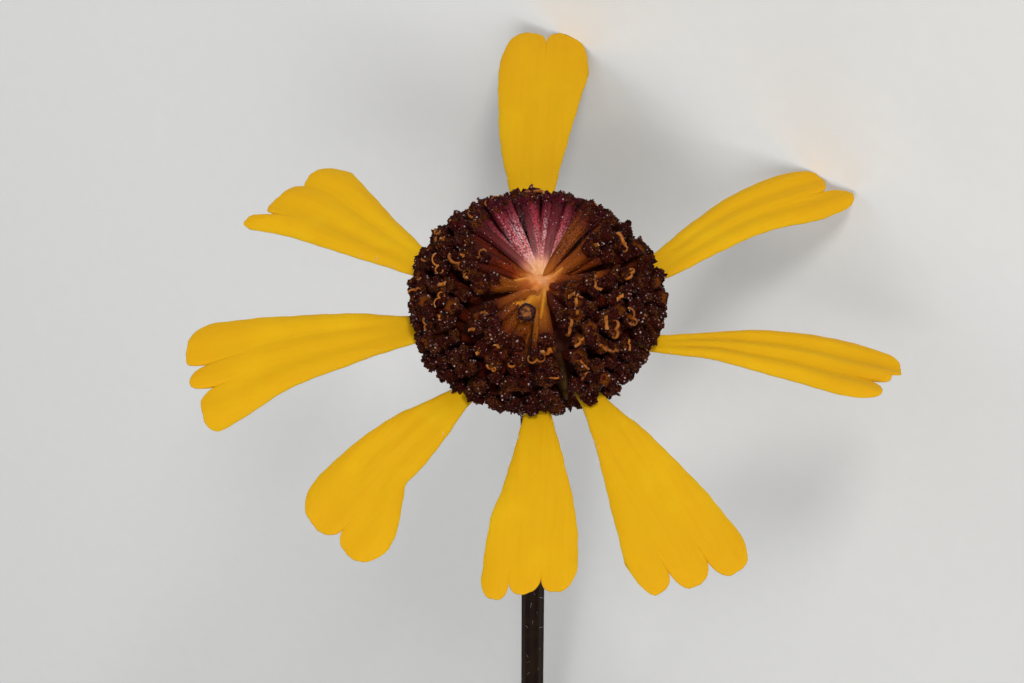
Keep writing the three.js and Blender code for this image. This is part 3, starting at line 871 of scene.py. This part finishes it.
def tubeShape(bow):
    points = []
    numbers = {"along": [], "rib": [], "round": [], "beaded": []}
    for z, r in tubes["rings"]:
        for k in range(tubes["sides"]):
            a = k * math.tau / tubes["sides"]
            girth = r * (1 - tubes["rib"] * (k % 2))
            points.append((girth * math.cos(a) + bow * math.sin(math.pi * z), girth * math.sin(a), z))
            numbers["along"].append(z)
            numbers["rib"].append(1 - k % 2)
            numbers["round"].append((math.cos(a), math.sin(a), 0))
            numbers["beaded"].append(tubes["beads"] * ease((z - 0.76) / 0.2))
    return newMesh("tubeShape", points, ringFaces(len(tubes["rings"]), tubes["sides"]), numbers)


def paintTube(graph):
    along, tone, blush, rib = graph.values("along", "tone", "blush", "rib")
    strand = graph.vector("ADD", graph.value("round", "Vector"), graph.join(0, 0, along * 0.7 + tone * 40))
    fibres = graph.noise(2.6, 4, strand)
    mottle = graph.noise(1100, 3)
    pebbles = graph.pebbles(8500)
    place = along + (mottle - 0.5) * 0.22
    colour = graph.blend(blush, graph.ramp(place, tubes["reddish"]), graph.ramp(place, tubes["blushed"]))
    warm = graph.between(tone, 0.84, 0.95) * (1 - graph.between(along, 0.6, 0.95)) * (1 - blush)
    colour = graph.blend(warm * 0.8, colour, tubes["orange"])
    # painted shade: dark streaks down the grooves of the tubes
    grooveShade = graph.between(fibres, 0.45, 0.62) * 0.55 * graph.between(along, 0.1, 0.4)
    colour = graph.blend(grooveShade, colour, tubes["shade"])
    # painted highlight: a pale sheen along the ribs of the blushed tubes
    paintedShine = graph.between(fibres + rib * 0.06 + mottle * 0.35, 0.62, 0.78) * graph.between(along, 0.04, 0.25)
    paintedShine = paintedShine * blush * (1 - graph.between(along, 0.45, 0.85))
    paintedShine = paintedShine * (0.85 - graph.between(tone, 0.15, 0.3) * 0.65)
    colour = graph.blend(paintedShine * (1 - graph.between(pebbles, 0.3, 0.7) * 0.8), colour, tubes["sheen"])
    # painted shade: dark between the pebbles and on the tubes behind the innermost ones; dull darkens some
    # tubes at random
    dark = graph.between(pebbles, 0.3, 0.8) * graph.between(along, 0.08, 0.35) * 0.6
    dull = graph.between(graph.maths("FRACT", tone * 7.3), 0.55, 0.95) * graph.between(along, 0.1, 0.3) * 0.7
    rear = graph.maths("MAXIMUM", graph.value("rear") * tubes["rear"], dull)
    colour = graph.blend(graph.maths("MAXIMUM", dark, rear), colour, tubes["shade"])
    flesh = graph.value("flesh") * (1 - graph.between(place, 0.6, 0.95))
    colour = graph.blend(flesh, colour, graph.ramp(place + (fibres - 0.5) * 0.3, tubes["flesh"]))
    return colour, 0.34 + mottle * 0.3, fibres + rib * 0.25 + mottle * 0.5 - pebbles * 0.7


tubeFinish = newFinish("floretTube", paintTube, bump=1, depth=0.06, specular=0.06, sockets={
    "Subsurface Weight": 0.06, "Subsurface Radius": (0.8, 0.2, 0.05), "Subsurface Scale": 0.0003})


def makeTubes():
    shapes = [tubeShape(bow) for bow in tubes["bows"]]
    lengths = np.linalg.norm(florets["mouth"] - florets["base"], axis=1) - tubes["belowMouth"]
    return growSeated("floretTubes", shapes, {**florets, "place": florets["base"]}, lengths, tubeFinish, {
        "blush": florets["blush"], "rear": 1 - florets["fan"], "flesh": florets["flesh"],
        "cover": np.where(florets["fan"] > 0.02, 1, 0.12)})


tubePiece = makeTubes()


# Glands: tiny glistening beads on the tubes, their pale tones painted glints
glands = {"Density": 6e6, "Spacing": 0.00018, "Thinnest": 0.000013, "Thickest": 0.000028,
          "Shortest": 0.000013, "Longest": 0.000028, "Lean": 0.2, "Sink": 0.0, "Seed": 5, "Cover": "cover"}


def paintGland(graph):
    tone = graph.value("tone")
    # painted highlight: the pale and white stops are glints on the beads
    stops = [(0, (0.1, 0.05, 0.065)), (0.45, (0.3, 0.18, 0.21)), (0.8, (0.95, 0.78, 0.66)),
             (1, (0.95, 0.95, 0.95))]
    return graph.ramp(tone, stops), 0.08 + tone * 0.1, tone


glandFinish = newFinish("clearGland", paintGland, bump=0.1, specular=0.8, sockets={
    "Coat Weight": 1, "Coat Roughness": 0.05})
strew("tubeGlands", tubePiece, grain, glandFinish, glands, "tubes")
finishPiece(tubePiece, "tubes", "bared_floret_tubes")


# Mouths: five short lobes bent back round each throat
mouths = {
    "lobes": 5,
    # rings of each: side radius, tip radius, side height, tip height, share of grains, how far inside
    "open": [(0.38, 0.38, -0.62, -0.62, 0, 0), (0.42, 0.46, -0.32, -0.32, 0.6, 0),
             (0.42, 0.54, -0.12, -0.12, 1, 0), (0.38, 0.5, -0.04, 0.02, 1, 0),
             (0.3, 0.36, -0.07, -0.02, 0.4, 0.5), (0.13, 0.13, -0.22, -0.22, 0.1, 1)],
    "bunched": [(0.38, 0.38, -0.62, -0.62, 0, 0), (0.38, 0.46, -0.34, -0.3, 0.7, 0),
                (0.33, 0.53, -0.2, -0.13, 1, 0), (0.26, 0.48, -0.1, 0.03, 1, 0),
                (0.16, 0.3, -0.06, 0.1, 1, 0), (0.05, 0.07, -0.08, -0.04, 1, 0)],
    "shapes": [("open", 1, 1), ("bunched", 1, 2), ("bunched", 0.7, 3)],      # rings, openness, seed
    "unevenness": 0.12,
    "purple": (0.011, 0.0022, 0.0026),
    "maroon": (0.036, 0.004, 0.0018),
    "throat": (0.17, 0.044, 0.004),
    "crevice": (0.06, 0.0075, 0.0024),
    "amber": (0.15, 0.042, 0.004),
    "magenta": (0.12, 0.008, 0.022),
}


def mouthShape(rings, openness, seed):
    rng = np.random.default_rng(seed)
    sides = 2 * mouths["lobes"]
    bend = rng.uniform(-1, 1, (3, sides)) * mouths["unevenness"]
    points = []
    numbers = {"lobe": [], "inner": []}
    for side, tip, sideHeight, tipHeight, share, inner in rings:
        free = ease((sideHeight + 0.6) / 0.4) * (1 - inner)      # how far a lobe may stray here
        for k in range(sides):
            a = (k + bend[0, k] * free) * math.tau / sides
            atTip = k % 2 == 0
            r = (side + (tip - side) * openness if atTip else side) * (1 + bend[1, k] * free)
            z = tipHeight + (1 - openness) * free * 0.2 if atTip else sideHeight
            points.append((r * math.cos(a), r * math.sin(a), z + bend[2, k] * free))
            numbers["lobe"].append(share)
            numbers["inner"].append(inner)
    return newMesh("mouthShape", points, ringFaces(len(rings), sides), numbers)


def paintMouth(graph):
    inner, tone = graph.values("inner", "tone")
    mottle = graph.noise(2400, 3)
    pebbles = graph.pebbles(11500)
    colour = graph.blend(graph.between(mottle + tone * 0.3, 0.45, 0.85), mouths["purple"], mouths["maroon"])
    patches = graph.between(graph.noise(1500, 2), 0.48, 0.62) * 0.95
    crevice = graph.blend(graph.value("blush"), mouths["crevice"], mouths["magenta"])
    crevice = graph.blend(patches, crevice, mouths["amber"])
    colour = graph.blend(graph.between(pebbles, 0.3, 0.7) * 0.8, colour, crevice)
    throat = graph.between(inner + mottle * 0.4, 0.35, 1) * graph.between(tone, 0.1, 0.6)
    return graph.blend(throat, colour, mouths["throat"]), 0.3 + mottle * 0.3, mottle * 0.4 - pebbles * 0.8


mouthFinish = newFinish("floretMouth", paintMouth, bump=1, depth=0.09, specular=0.025)


def makeMouths():
    shapes = [mouthShape(mouths[rings], openness, seed) for rings, openness, seed in mouths["shapes"]]
    plan = {**florets, "place": florets["mouth"], "kind": florets["opening"]}
    return growSeated("floretMouths", shapes, plan, florets["size"], mouthFinish, {
        "blush": florets["blush"], "cover": np.ones(len(florets["mouth"]))})


mouthPiece = makeMouths()


# Grains: the dark papillae that cover the lobes
grains = {"Density": 60e6, "Spacing": 0.000128, "Thinnest": 0.00005, "Thickest": 0.000076,
          "Shortest": 0.00005, "Longest": 0.000085, "Lean": 0.5, "Sink": -0.000008, "Seed": 3,
          "Cover": "lobe"}
fineGrains = {**grains, "Spacing": 0.000108, "Thinnest": 0.00003, "Thickest": 0.00005, "Shortest": 0.00003,
              "Longest": 0.00006, "Seed": 8}


def paintGrain(graph):
    tone = graph.value("tone")
    # painted highlight: the palest stops stand for glints on the beads
    stops = [(0, (0.005, 0.0015, 0.0025)), (0.4, (0.01, 0.0025, 0.003)), (0.68, (0.031, 0.005, 0.0045)),
             (0.88, (0.066, 0.015, 0.013)), (0.965, (0.15, 0.064, 0.055)), (0.992, (0.44, 0.32, 0.31))]
    return graph.ramp(tone, stops), 0.2 + tone * 0.2, tone


grainFinish = newFinish("darkGrain", paintGrain, bump=0.1, specular=0.11)
strew("lobeGrains", mouthPiece, grain, grainFinish, grains, "disc")
strew("fineLobeGrains", mouthPiece, grain, grainFinish, fineGrains, "disc")
strew("tubeGrains", tubePiece, grain, grainFinish, {**grains, "Cover": "beaded", "Seed": 4}, "disc")
strew("mouthGlands", mouthPiece, grain, glandFinish, {**glands, "Spacing": 0.00026, "Seed": 7}, "disc")


# Bed that the florets stand on, with the parting sunk into its top
bed = {
    "rings": 60,
    "sides": 160,
    "shrink": 1.5,
    "lastAngle": 2.4,
    "floorSink": 0.2,
    "skirt": 0.75,
    "nub": 0.26,
    "nubWidth": 0.85,
    "ridge": 0.52,
    "rimLift": 0.8,
    "driftWidth": 2.4,      # how wide the floor moves with the parting's middle
    "speckWidth": 1.5,
    "crestSink": 0.45,      # how far under the dome the arms' crests stay
    # colours from the middle outwards: the flesh's own colour near the middle, painted shade at the dark
    # outer ends deep among the florets
    "colouredTo": 5,
    "flesh": [(0, (0.8, 0.38, 0.17)), (0.11, (0.66, 0.23, 0.055)), (0.2, (0.36, 0.085, 0.012)),
              (0.36, (0.12, 0.016, 0.003)), (1, (0.02, 0.004, 0.002))],
    "arm": [(0, (0.78, 0.36, 0.14)), (0.16, (0.66, 0.27, 0.05)), (0.34, (0.64, 0.25, 0.02)),
            (0.6, (0.56, 0.2, 0.013)), (0.88, (0.3, 0.11, 0.008)), (1, (0.046, 0.025, 0.004))],
    "pit": (0.01, 0.003, 0.001),
    "specks": {"Density": 14e6, "Spacing": 0.00014, "Seed": 6, "Cover": "nearCentre"},
}


def makeBed():
    t = np.linspace(0.02, bed["lastAngle"], bed["rings"])[:, None]
    azimuth = (np.arange(bed["sides"]) * math.tau / bed["sides"])[None, :]
    r = (disc["radius"] - bed["shrink"] + bed["skirt"] * ease((t - 1) / 0.5)) * np.sin(t) + 0 * azimuth
    z = disc["centreHeight"] + (disc["height"] - bed["shrink"]) * np.cos(t) + 0 * azimuth
    edge = partingEdge(azimuth)
    floor = disc["partingFloor"] + (domeHeight(edge) - disc["partingFloor"]) * r / edge - bed["floorSink"]
    upper = t < math.pi / 2
    z = np.where(upper, np.minimum(z, floor), z)
    z = z + bed["nub"] * np.exp(-(r / bed["nubWidth"]) ** 2) * upper
    crest = disc["partingFloor"] + bed["ridge"]
    crest = crest + (domeHeight(r) - bed["crestSink"] - crest) * ease((r - 1) / 2.5)
    ridge = np.zeros_like(z)
    wall = np.zeros_like(z)
    for arm in disc["arms"]:
        _, _, start, end, width, _ = arm
        aside = r * np.sin(azimuth - armAzimuth(arm, r))
        ahead = r * np.cos(azimuth - armAzimuth(arm, r))
        narrow = width * (1.2 - 0.5 * np.clip((ahead - start) / (end - start), 0, 1))
        here = np.exp(-(aside / narrow) ** 2) * ease(end - ahead) * ease((ahead - start) / 0.9)
        if start < 1:
            wall = np.maximum(wall, here * upper)
        else:
            ridge = np.maximum(ridge, here * ease((2.2 - t) / 0.3))
    lift = bed["ridge"] * (1 + bed["rimLift"] * ease((t - 0.8) / 0.6)) * ridge
    z = z + np.maximum(crest - z, 0) * wall
    r = r + lift * np.sin(t)
    z = z + lift * np.cos(t)
    ridge = np.maximum(ridge, wall)
    drift = np.exp(-(r / bed["driftWidth"]) ** 2) * upper
    points = polar(r, azimuth, z) + drift[..., None] * disc["middle"]
    numbers = {"fromCentre": r / bed["colouredTo"] * upper + (1 - upper), "ridge": ridge,
               "nearCentre": np.exp(-(r / bed["speckWidth"]) ** 2) * upper}
    return newMesh("floretBed", laidDown(points[::-1].reshape(-1, 3)), ringFaces(bed["rings"], bed["sides"]),
                   {name: values[::-1].ravel() for name, values in numbers.items()}, bedFinish)


def paintBed(graph):
    away, ridge = graph.values("fromCentre", "ridge")
    mottle = graph.noise(3200, 3)
    # painted shade where both ramps turn dark towards the outside
    flesh = graph.ramp(away * (1 - ridge * 0.35) + (mottle - 0.5) * 0.16, bed["flesh"])
    colour = graph.blend(ridge, flesh, graph.ramp(away + (mottle - 0.5) * 0.15, bed["arm"]))
    pits = graph.between(graph.noise(2600, 3), 0.5, 0.62) * graph.between(away, 0.5, 0.8)
    return graph.blend(pits * 0.75, colour, bed["pit"]), 0.5 + mottle * 0.25, mottle


bedFinish = newFinish("floretBed", paintBed, bump=0.5, depth=0.05, specular=0.08, sockets={
    "Subsurface Weight": 0.08, "Subsurface Scale": 0.0003})
bedPiece = makeBed()
strew("centreGlands", bedPiece, grain, glandFinish, {**glands, **bed["specks"]}, "tubes")
finishPiece(bedPiece, "disc")
finishPiece(mouthPiece, "disc", "disc_florets")


# Styles: pairs of orange arms that curl out of the mouths
styles = {
    "share": 0.46,
    "steps": 9,
    "width": 0.095,
    "thickness": 0.04,
    "seed": 23,
    "lastAngle": 1.25,      # florets lower down the dome have none
    "aimStray": 0.4,
    "standing": (-0.1, 0.09),
    "sizes": (0.8, 1.25),
    # arms as arcs: how far each turns, its radius, which way it curls and its lift
    "shapes": [[(4.2, 0.24, 1, 0.05), (4, 0.26, -1, -0.05)],
               [(2.6, 0.34, 1, 0.12), (5, 0.2, -1, 0)],
               [(1.5, 0.16, 1, 0.1), (1.9, 0.14, -1, -0.08)]],
    "orange": (0.4, 0.12, 0.009),
    "rust": (0.2, 0.05, 0.004),
    "cream": (0.62, 0.46, 0.24),
}


def styleShape(arms):
    points = []
    faces = []
    along = []
    for turnAngle, radius, side, lift in arms:
        first = len(points)
        for i in range(styles["steps"]):
            t = i / (styles["steps"] - 1)
            a = t * turnAngle
            middle = np.array([side * radius * (1 - math.cos(a)), lift * t, radius * math.sin(a)])
            inward = np.array([side * math.cos(a), 0, -math.sin(a)])
            girth = 1 - 0.25 * t + 0.35 * math.exp(-((t - 0.92) / 0.12) ** 2)
            for across, through in ((-1, -1), (1, -1), (1, 1), (-1, 1)):
                points.append(middle + inward * through * styles["thickness"] * girth
                              + np.array([0, across * styles["width"] * girth, 0]))
                along.append(t)
        order = 1 if side > 0 else -1
        for face in ringFaces(styles["steps"], 4):
            faces.append(tuple(first + k for k in face[::order]))
    return newMesh("styleShape", points, faces, {"along": along})


def paintStyle(graph):
    along, tone = graph.values("along", "tone")
    mottle = graph.noise(3000, 2)
    colour = graph.blend(graph.between(mottle + tone * 0.3, 0.4, 0.9), styles["orange"], styles["rust"])
    pale = graph.between(tone, 0.982, 0.99) * 0.7 + graph.between(along, 0.85, 1) * 0.25
    return graph.blend(graph.maths("MINIMUM", pale, 1), colour, styles["cream"]), 0.42 + mottle * 0.2, mottle


styleFinish = newFinish("curledStyle", paintStyle, bump=0.5, depth=0.04, specular=0.25, sockets={
    "Subsurface Weight": 0.1, "Subsurface Radius": (0.8, 0.3, 0.05), "Subsurface Scale": 0.0002})


def makeStyles():
    rng = np.random.default_rng(styles["seed"])
    share = rng.random(len(florets["angle"]))
    chosen = (share < styles["share"]) & (florets["angle"] < styles["lastAngle"])
    own = {name: values[chosen] for name, values in florets.items()}
    count = len(own["angle"])
    aims = unit(own["aim"] + rng.normal(0, styles["aimStray"], (count, 3)))
    places = own["mouth"] + own["aim"] * rng.uniform(*styles["standing"], (count, 1))
    sizes = rng.uniform(*styles["sizes"], count) * (1 - 0.35 * ease((own["angle"] - 0.9) / 0.3))
    plan = {"place": places, "aim": aims, "size": sizes, "spin": rng.uniform(0, math.tau, count),
            "kind": rng.integers(0, 3, count), "tone": rng.random(count)}
    shapes = [styleShape(arms) for arms in styles["shapes"]]
    finishPiece(growSeated("curledStyles", shapes, plan, sizes, styleFinish), "tubes")


makeStyles()


def makeBud():
    foot = np.array(bud["foot"])
    length = np.array(bud["top"]) - foot
    axis = unit(length)
    side = unit(np.cross(axis, (1, 0, 0)))
    over = np.cross(axis, side)
    points = []
    numbers = {"along": [], "inner": [], "lobe": []}
    for share, r, inner, grained in bud["rings"]:
        for k in range(bud["sides"]):
            a = k * math.tau / bud["sides"]
            girth = r * (1 + 0.06 * math.cos(5 * a))
            points.append(foot + length * share + (side * math.cos(a) + over * math.sin(a)) * girth)
            numbers["along"].append(share)
            numbers["inner"].append(inner)
            numbers["lobe"].append(grained)
    faces = ringFaces(len(bud["rings"]), bud["sides"])
    return newMesh("closedBud", laidDown(points), faces, numbers, budFinish)


def paintBud(graph):
    along, inner = graph.values("along", "inner")
    mottle = graph.noise(5200, 3)
    middle = inner * graph.between(mottle, 0.35, 0.6)
    colour = graph.blend(middle, graph.ramp(along, bud["dark"]), bud["pale"])
    return colour, 0.4 + mottle * 0.2, mottle


budFinish = newFinish("closedBud", paintBud, bump=0.7, depth=0.06, specular=0.1)
budPiece = makeBud()
strew("budGrains", budPiece, grain, grainFinish, grains, "disc")
finishPiece(budPiece, "disc")
print("disc made")


# Involucre: the receptacle and its ring of narrow bracts bent down along the stem
involucre = {
    "profile": [(0.02, -2.52), (1.2, -2.5), (2.1, -2.36), (2.9, -2), (3.5, -1.62), (3.95, -1.25),
                (4.2, -0.85), (4.2, -0.5), (3.9, -0.4), (3.4, -0.36), (3.3, 0.1), (3.2, 0.32), (0.02, 0.34)],
    "sides": 48,
    "bracts": 17,
    "bractLength": 4.6,
    "rows": 22,
    "columns": 9,
    "widths": [(0, 0.5), (0.2, 0.64), (0.5, 0.52), (0.8, 0.3), (1, 0.03)],
    "thickness": 0.22,
    "downBelow": -0.4,
    "green": (0.115, 0.175, 0.035),
    "pale": (0.27, 0.33, 0.1),
    "tip": (0.24, 0.17, 0.05),
    "down": {"Density": 4.5e6, "Spacing": 0.00022, "Thinnest": 0.000008, "Thickest": 0.000013,
             "Shortest": 0.0002, "Longest": 0.0004, "Lean": 0.7, "Sink": 0.00001, "Seed": 71,
             "Cover": "fuzz"},
}


def draw(k, salt):      # the model's own repeatable draw between -1 and 1
    return 2 * (abs(math.sin(k * 12.9898 + salt * 78.233) * 43758.5453) % 1) - 1


def paintGreen(graph):
    along, across = graph.values("along", "across")
    mottle = graph.noise(1400, 4)
    midrib = 1 - graph.between(graph.maths("ABSOLUTE", across), 0.05, 0.22)
    colour = graph.blend(graph.between(mottle, 0.35, 0.7), involucre["green"], involucre["pale"])
    colour = graph.blend(midrib * 0.6, colour, involucre["pale"])
    colour = graph.blend(graph.between(along, 0.72, 1) * 0.8, colour, involucre["tip"])
    return colour, 0.55 + mottle * 0.25, mottle


greenFinish = newFinish("downyGreen", paintGreen, bump=0.6, depth=0.06, specular=0.35, sockets={
    "Subsurface Weight": 0.1, "Subsurface Scale": 0.0005})


def bractGrid(k):
    look = involucre
    azimuth = (k + 0.2 * draw(k, 9)) * math.tau / look["bracts"]
    length = look["bractLength"] * (1 + 0.1 * draw(k, 10))
    t = np.linspace(0, 1, look["rows"])[:, None]
    v = np.linspace(-1, 1, look["columns"])[None, :]
    path = [(0, 3.3), (0.12, 3.85), (0.3, 4.1), (0.5, 3.95), (0.75, 3.3), (1, 2.4 + 0.2 * draw(k, 11))]
    r = curve(path, t)
    z = -1.05 - (length + 0.1) * t ** 1.12
    w = v * curve(look["widths"], t)
    cup = -0.16 * v * v * np.ones_like(t) + 0.07 * (1 - np.abs(v)) ** 2
    sway = 0.12 * draw(k, 12) * t * t
    middle = np.stack([r + cup, w + sway * length, z + 0 * v], -1)
    ahead = np.gradient(middle, axis=0)
    over = np.gradient(middle, axis=1)
    normal = unit(np.cross(over, ahead))
    half = look["thickness"] / 2 * (1 - 0.6 * np.abs(v) ** 3) * (1 - 0.6 * t ** 6)
    both = np.concatenate([middle + normal * half[..., None], middle - normal * half[..., None]])
    points = swung(both[..., 0], both[..., 1], both[..., 2], azimuth).reshape(-1, 3)
    return points, np.tile((t + 0 * v).ravel(), 2), np.tile((v + 0 * t).ravel(), 2)


def makeInvolucre():
    look = involucre
    azimuth = np.arange(look["sides"]) * math.tau / look["sides"]
    points = [np.concatenate([polar(r, azimuth, np.full(look["sides"], z)) for r, z in look["profile"]])]
    faces = ringFaces(len(look["profile"]), look["sides"])
    along = [np.zeros(len(points[0]))]
    across = [np.ones(len(points[0]))]
    for k in range(look["bracts"]):
        first = sum(len(p) for p in points)
        grid, up, out = bractGrid(k)
        faces += [tuple(first + i for i in face) for face in sheetFaces(look["rows"], look["columns"])]
        points.append(grid)
        along.append(up)
        across.append(out)
    whole = np.concatenate(points)
    return newMesh("bractedInvolucre", laidDown(whole), faces, {
        "along": np.concatenate(along), "across": np.concatenate(across),
        "fuzz": whole[:, 2] < look["downBelow"]}, greenFinish)


involucrePiece = makeInvolucre()
strew("involucreDown", involucrePiece, hair, hairFinish, involucre["down"], "involucre")
finishPiece(involucrePiece, "involucre", "involucre")
print("involucre made")


# Stem: straight below the head, then bent so that its last part runs along the surface
stem = {
    "radius": 0.68,
    "straight": 40,
    "endFlat": 0.06,
    "flare": [0.55, 0.32, 0.14, 0.05, 0.02],
    "sides": 36,
    "steps": 150,
    "ridges": 9.0,
    "ridgeDepth": 0.075,
    "brown": (0.021, 0.0066, 0.002),
    "dark": (0.01, 0.003, 0.0012),
    "olive": (0.022, 0.013, 0.003),
    "pith": (0.55, 0.52, 0.3),
    "down": {"Density": 2.0e6, "Spacing": 0.0007, "Thinnest": 0.000006, "Thickest": 0.000009,
             "Shortest": 0.0002, "Longest": 0.00038, "Lean": 0.9, "Sink": 0.00001, "Seed": 83,
             "Cover": "cover"},
}


def stemPath():
    down = math.radians(lying["downAzimuth"])
    tilt = math.radians(lying["axisTilt"])
    drop = lying["headCentre"][2] - stem["straight"] * math.sin(tilt) - stem["radius"] + stem["endFlat"]
    bend = drop / (1 - math.cos(tilt))
    points = [(0, 0, -depth) for depth in (2.2, 4, 7, 13, 20, 26, 33, stem["straight"])]
    for i in range(1, 13):
        t = tilt * i / 12
        out = -bend * (1 - math.cos(t))
        points.append((out * math.cos(down), out * math.sin(down), -stem["straight"] - bend * math.sin(t)))
    return np.array(points)


def paintStem(graph):
    along, ridge = graph.values("along", "ridge")
    streaks = graph.noise(700, 4)
    colour = graph.blend(graph.between(ridge * 0.3 + streaks, 0.3, 0.8), stem["dark"], stem["brown"])
    sunny = graph.between(streaks + along * 0.3, 0.55, 0.8)
    colour = graph.blend(sunny * 0.6, colour, stem["olive"])
    return graph.blend(graph.value("cut"), colour, stem["pith"]), 0.48 + streaks * 0.25, streaks


stemFinish = newFinish("redBrownStem", paintStem, bump=0.5, depth=0.06, specular=0.06)


def makeStem():
    points = stemPath()
    girth = np.full(len(points), stem["radius"])
    girth[:len(stem["flare"])] += stem["flare"]
    line = newMesh("stemLine", laidDown(points), [], {"girth": girth * mm, "cover": np.ones(len(points))},
                   edges=[(i, i + 1) for i in range(len(points) - 1)])
    piece = grow("ridgedStem", line, ridging, {
        "Sides": stem["sides"], "Steps": stem["steps"], "Ridges": stem["ridges"],
        "Ridge Depth": stem["ridgeDepth"], "Material": stemFinish})
    discard(line)
    keepAboveSurface(piece)
    return piece


stemPiece = makeStem()
strew("stemDown", stemPiece, hair, hairFinish, stem["down"], "stem")
finishPiece(stemPiece, "stem", "stem")
discard(hair, grain)
print("stem made")


# Plain pale floor and soft studio light
studio = {
    "floorSize": 6,
    "floor": (0.8, 0.8, 0.785),
    "grit": (0.83, 0.83, 0.82),
    "sky": (0.92, 0.93, 0.95),
    "skyStrength": 0.24,
    "exposure": 0,
    "lamps": [      # azimuth round the head, elevation, distance and size in metres, watts, colour
        {"azimuth": -15, "elevation": 24, "distance": 0.55, "size": 0.1,
         "watts": 1.45, "colour": (1, 0.98, 0.95)},
        {"azimuth": -60, "elevation": 62, "distance": 0.6, "size": 0.3,
         "watts": 1.5, "colour": (1, 1, 1)},
        {"azimuth": 70, "elevation": 45, "distance": 0.7, "size": 0.4,
         "watts": 0.6, "colour": (0.95, 0.97, 1)},
        {"azimuth": 180, "elevation": 35, "distance": 0.7, "size": 0.4,
         "watts": 0.4, "colour": (1, 1, 1)},
    ],
}


def paintFloor(graph):
    grit = graph.noise(900, 3)
    return graph.blend(grit, studio["floor"], studio["grit"]), 0.65 + grit * 0.1, grit


def makeStudio():
    half = studio["floorSize"] / 2
    floor = newMesh("studioFloor", [(-half, -half, 0), (half, -half, 0), (half, half, 0), (-half, half, 0)],
                    [(0, 1, 2, 3)], None, newFinish("paleFloor", paintFloor, bump=0.15, specular=0.25))
    target = Vector(laidDown((0, 0, 0)))
    for lamp in studio["lamps"]:
        a = math.radians(lamp["azimuth"])
        e = math.radians(lamp["elevation"])
        toward = Vector((math.sin(a) * math.cos(e), -math.cos(a) * math.cos(e), math.sin(e)))
        data = bpy.data.lights.new("softLamp", "AREA")
        data.shape = "SQUARE"
        data.size = lamp["size"]
        data.energy = lamp["watts"]
        data.color = lamp["colour"]
        made = addObject("softLamp", data)
        made.location = target + toward * lamp["distance"]
        made.rotation_euler = toward.to_track_quat("Z", "Y").to_euler()
    world = bpy.data.worlds.new("studioSky")
    world.use_nodes = True
    world.node_tree.nodes.clear()
    graph = Graph(world.node_tree)
    sky = graph.node("ShaderNodeBackground", None, {
        "Color": studio["sky"], "Strength": studio["skyStrength"]})
    graph.node("ShaderNodeOutputWorld", None, {"Surface": sky})
    bpy.context.scene.world = world
    bpy.context.scene.view_settings.view_transform = "Standard"
    bpy.context.scene.view_settings.exposure = studio["exposure"]


makeStudio()
print("studio made")
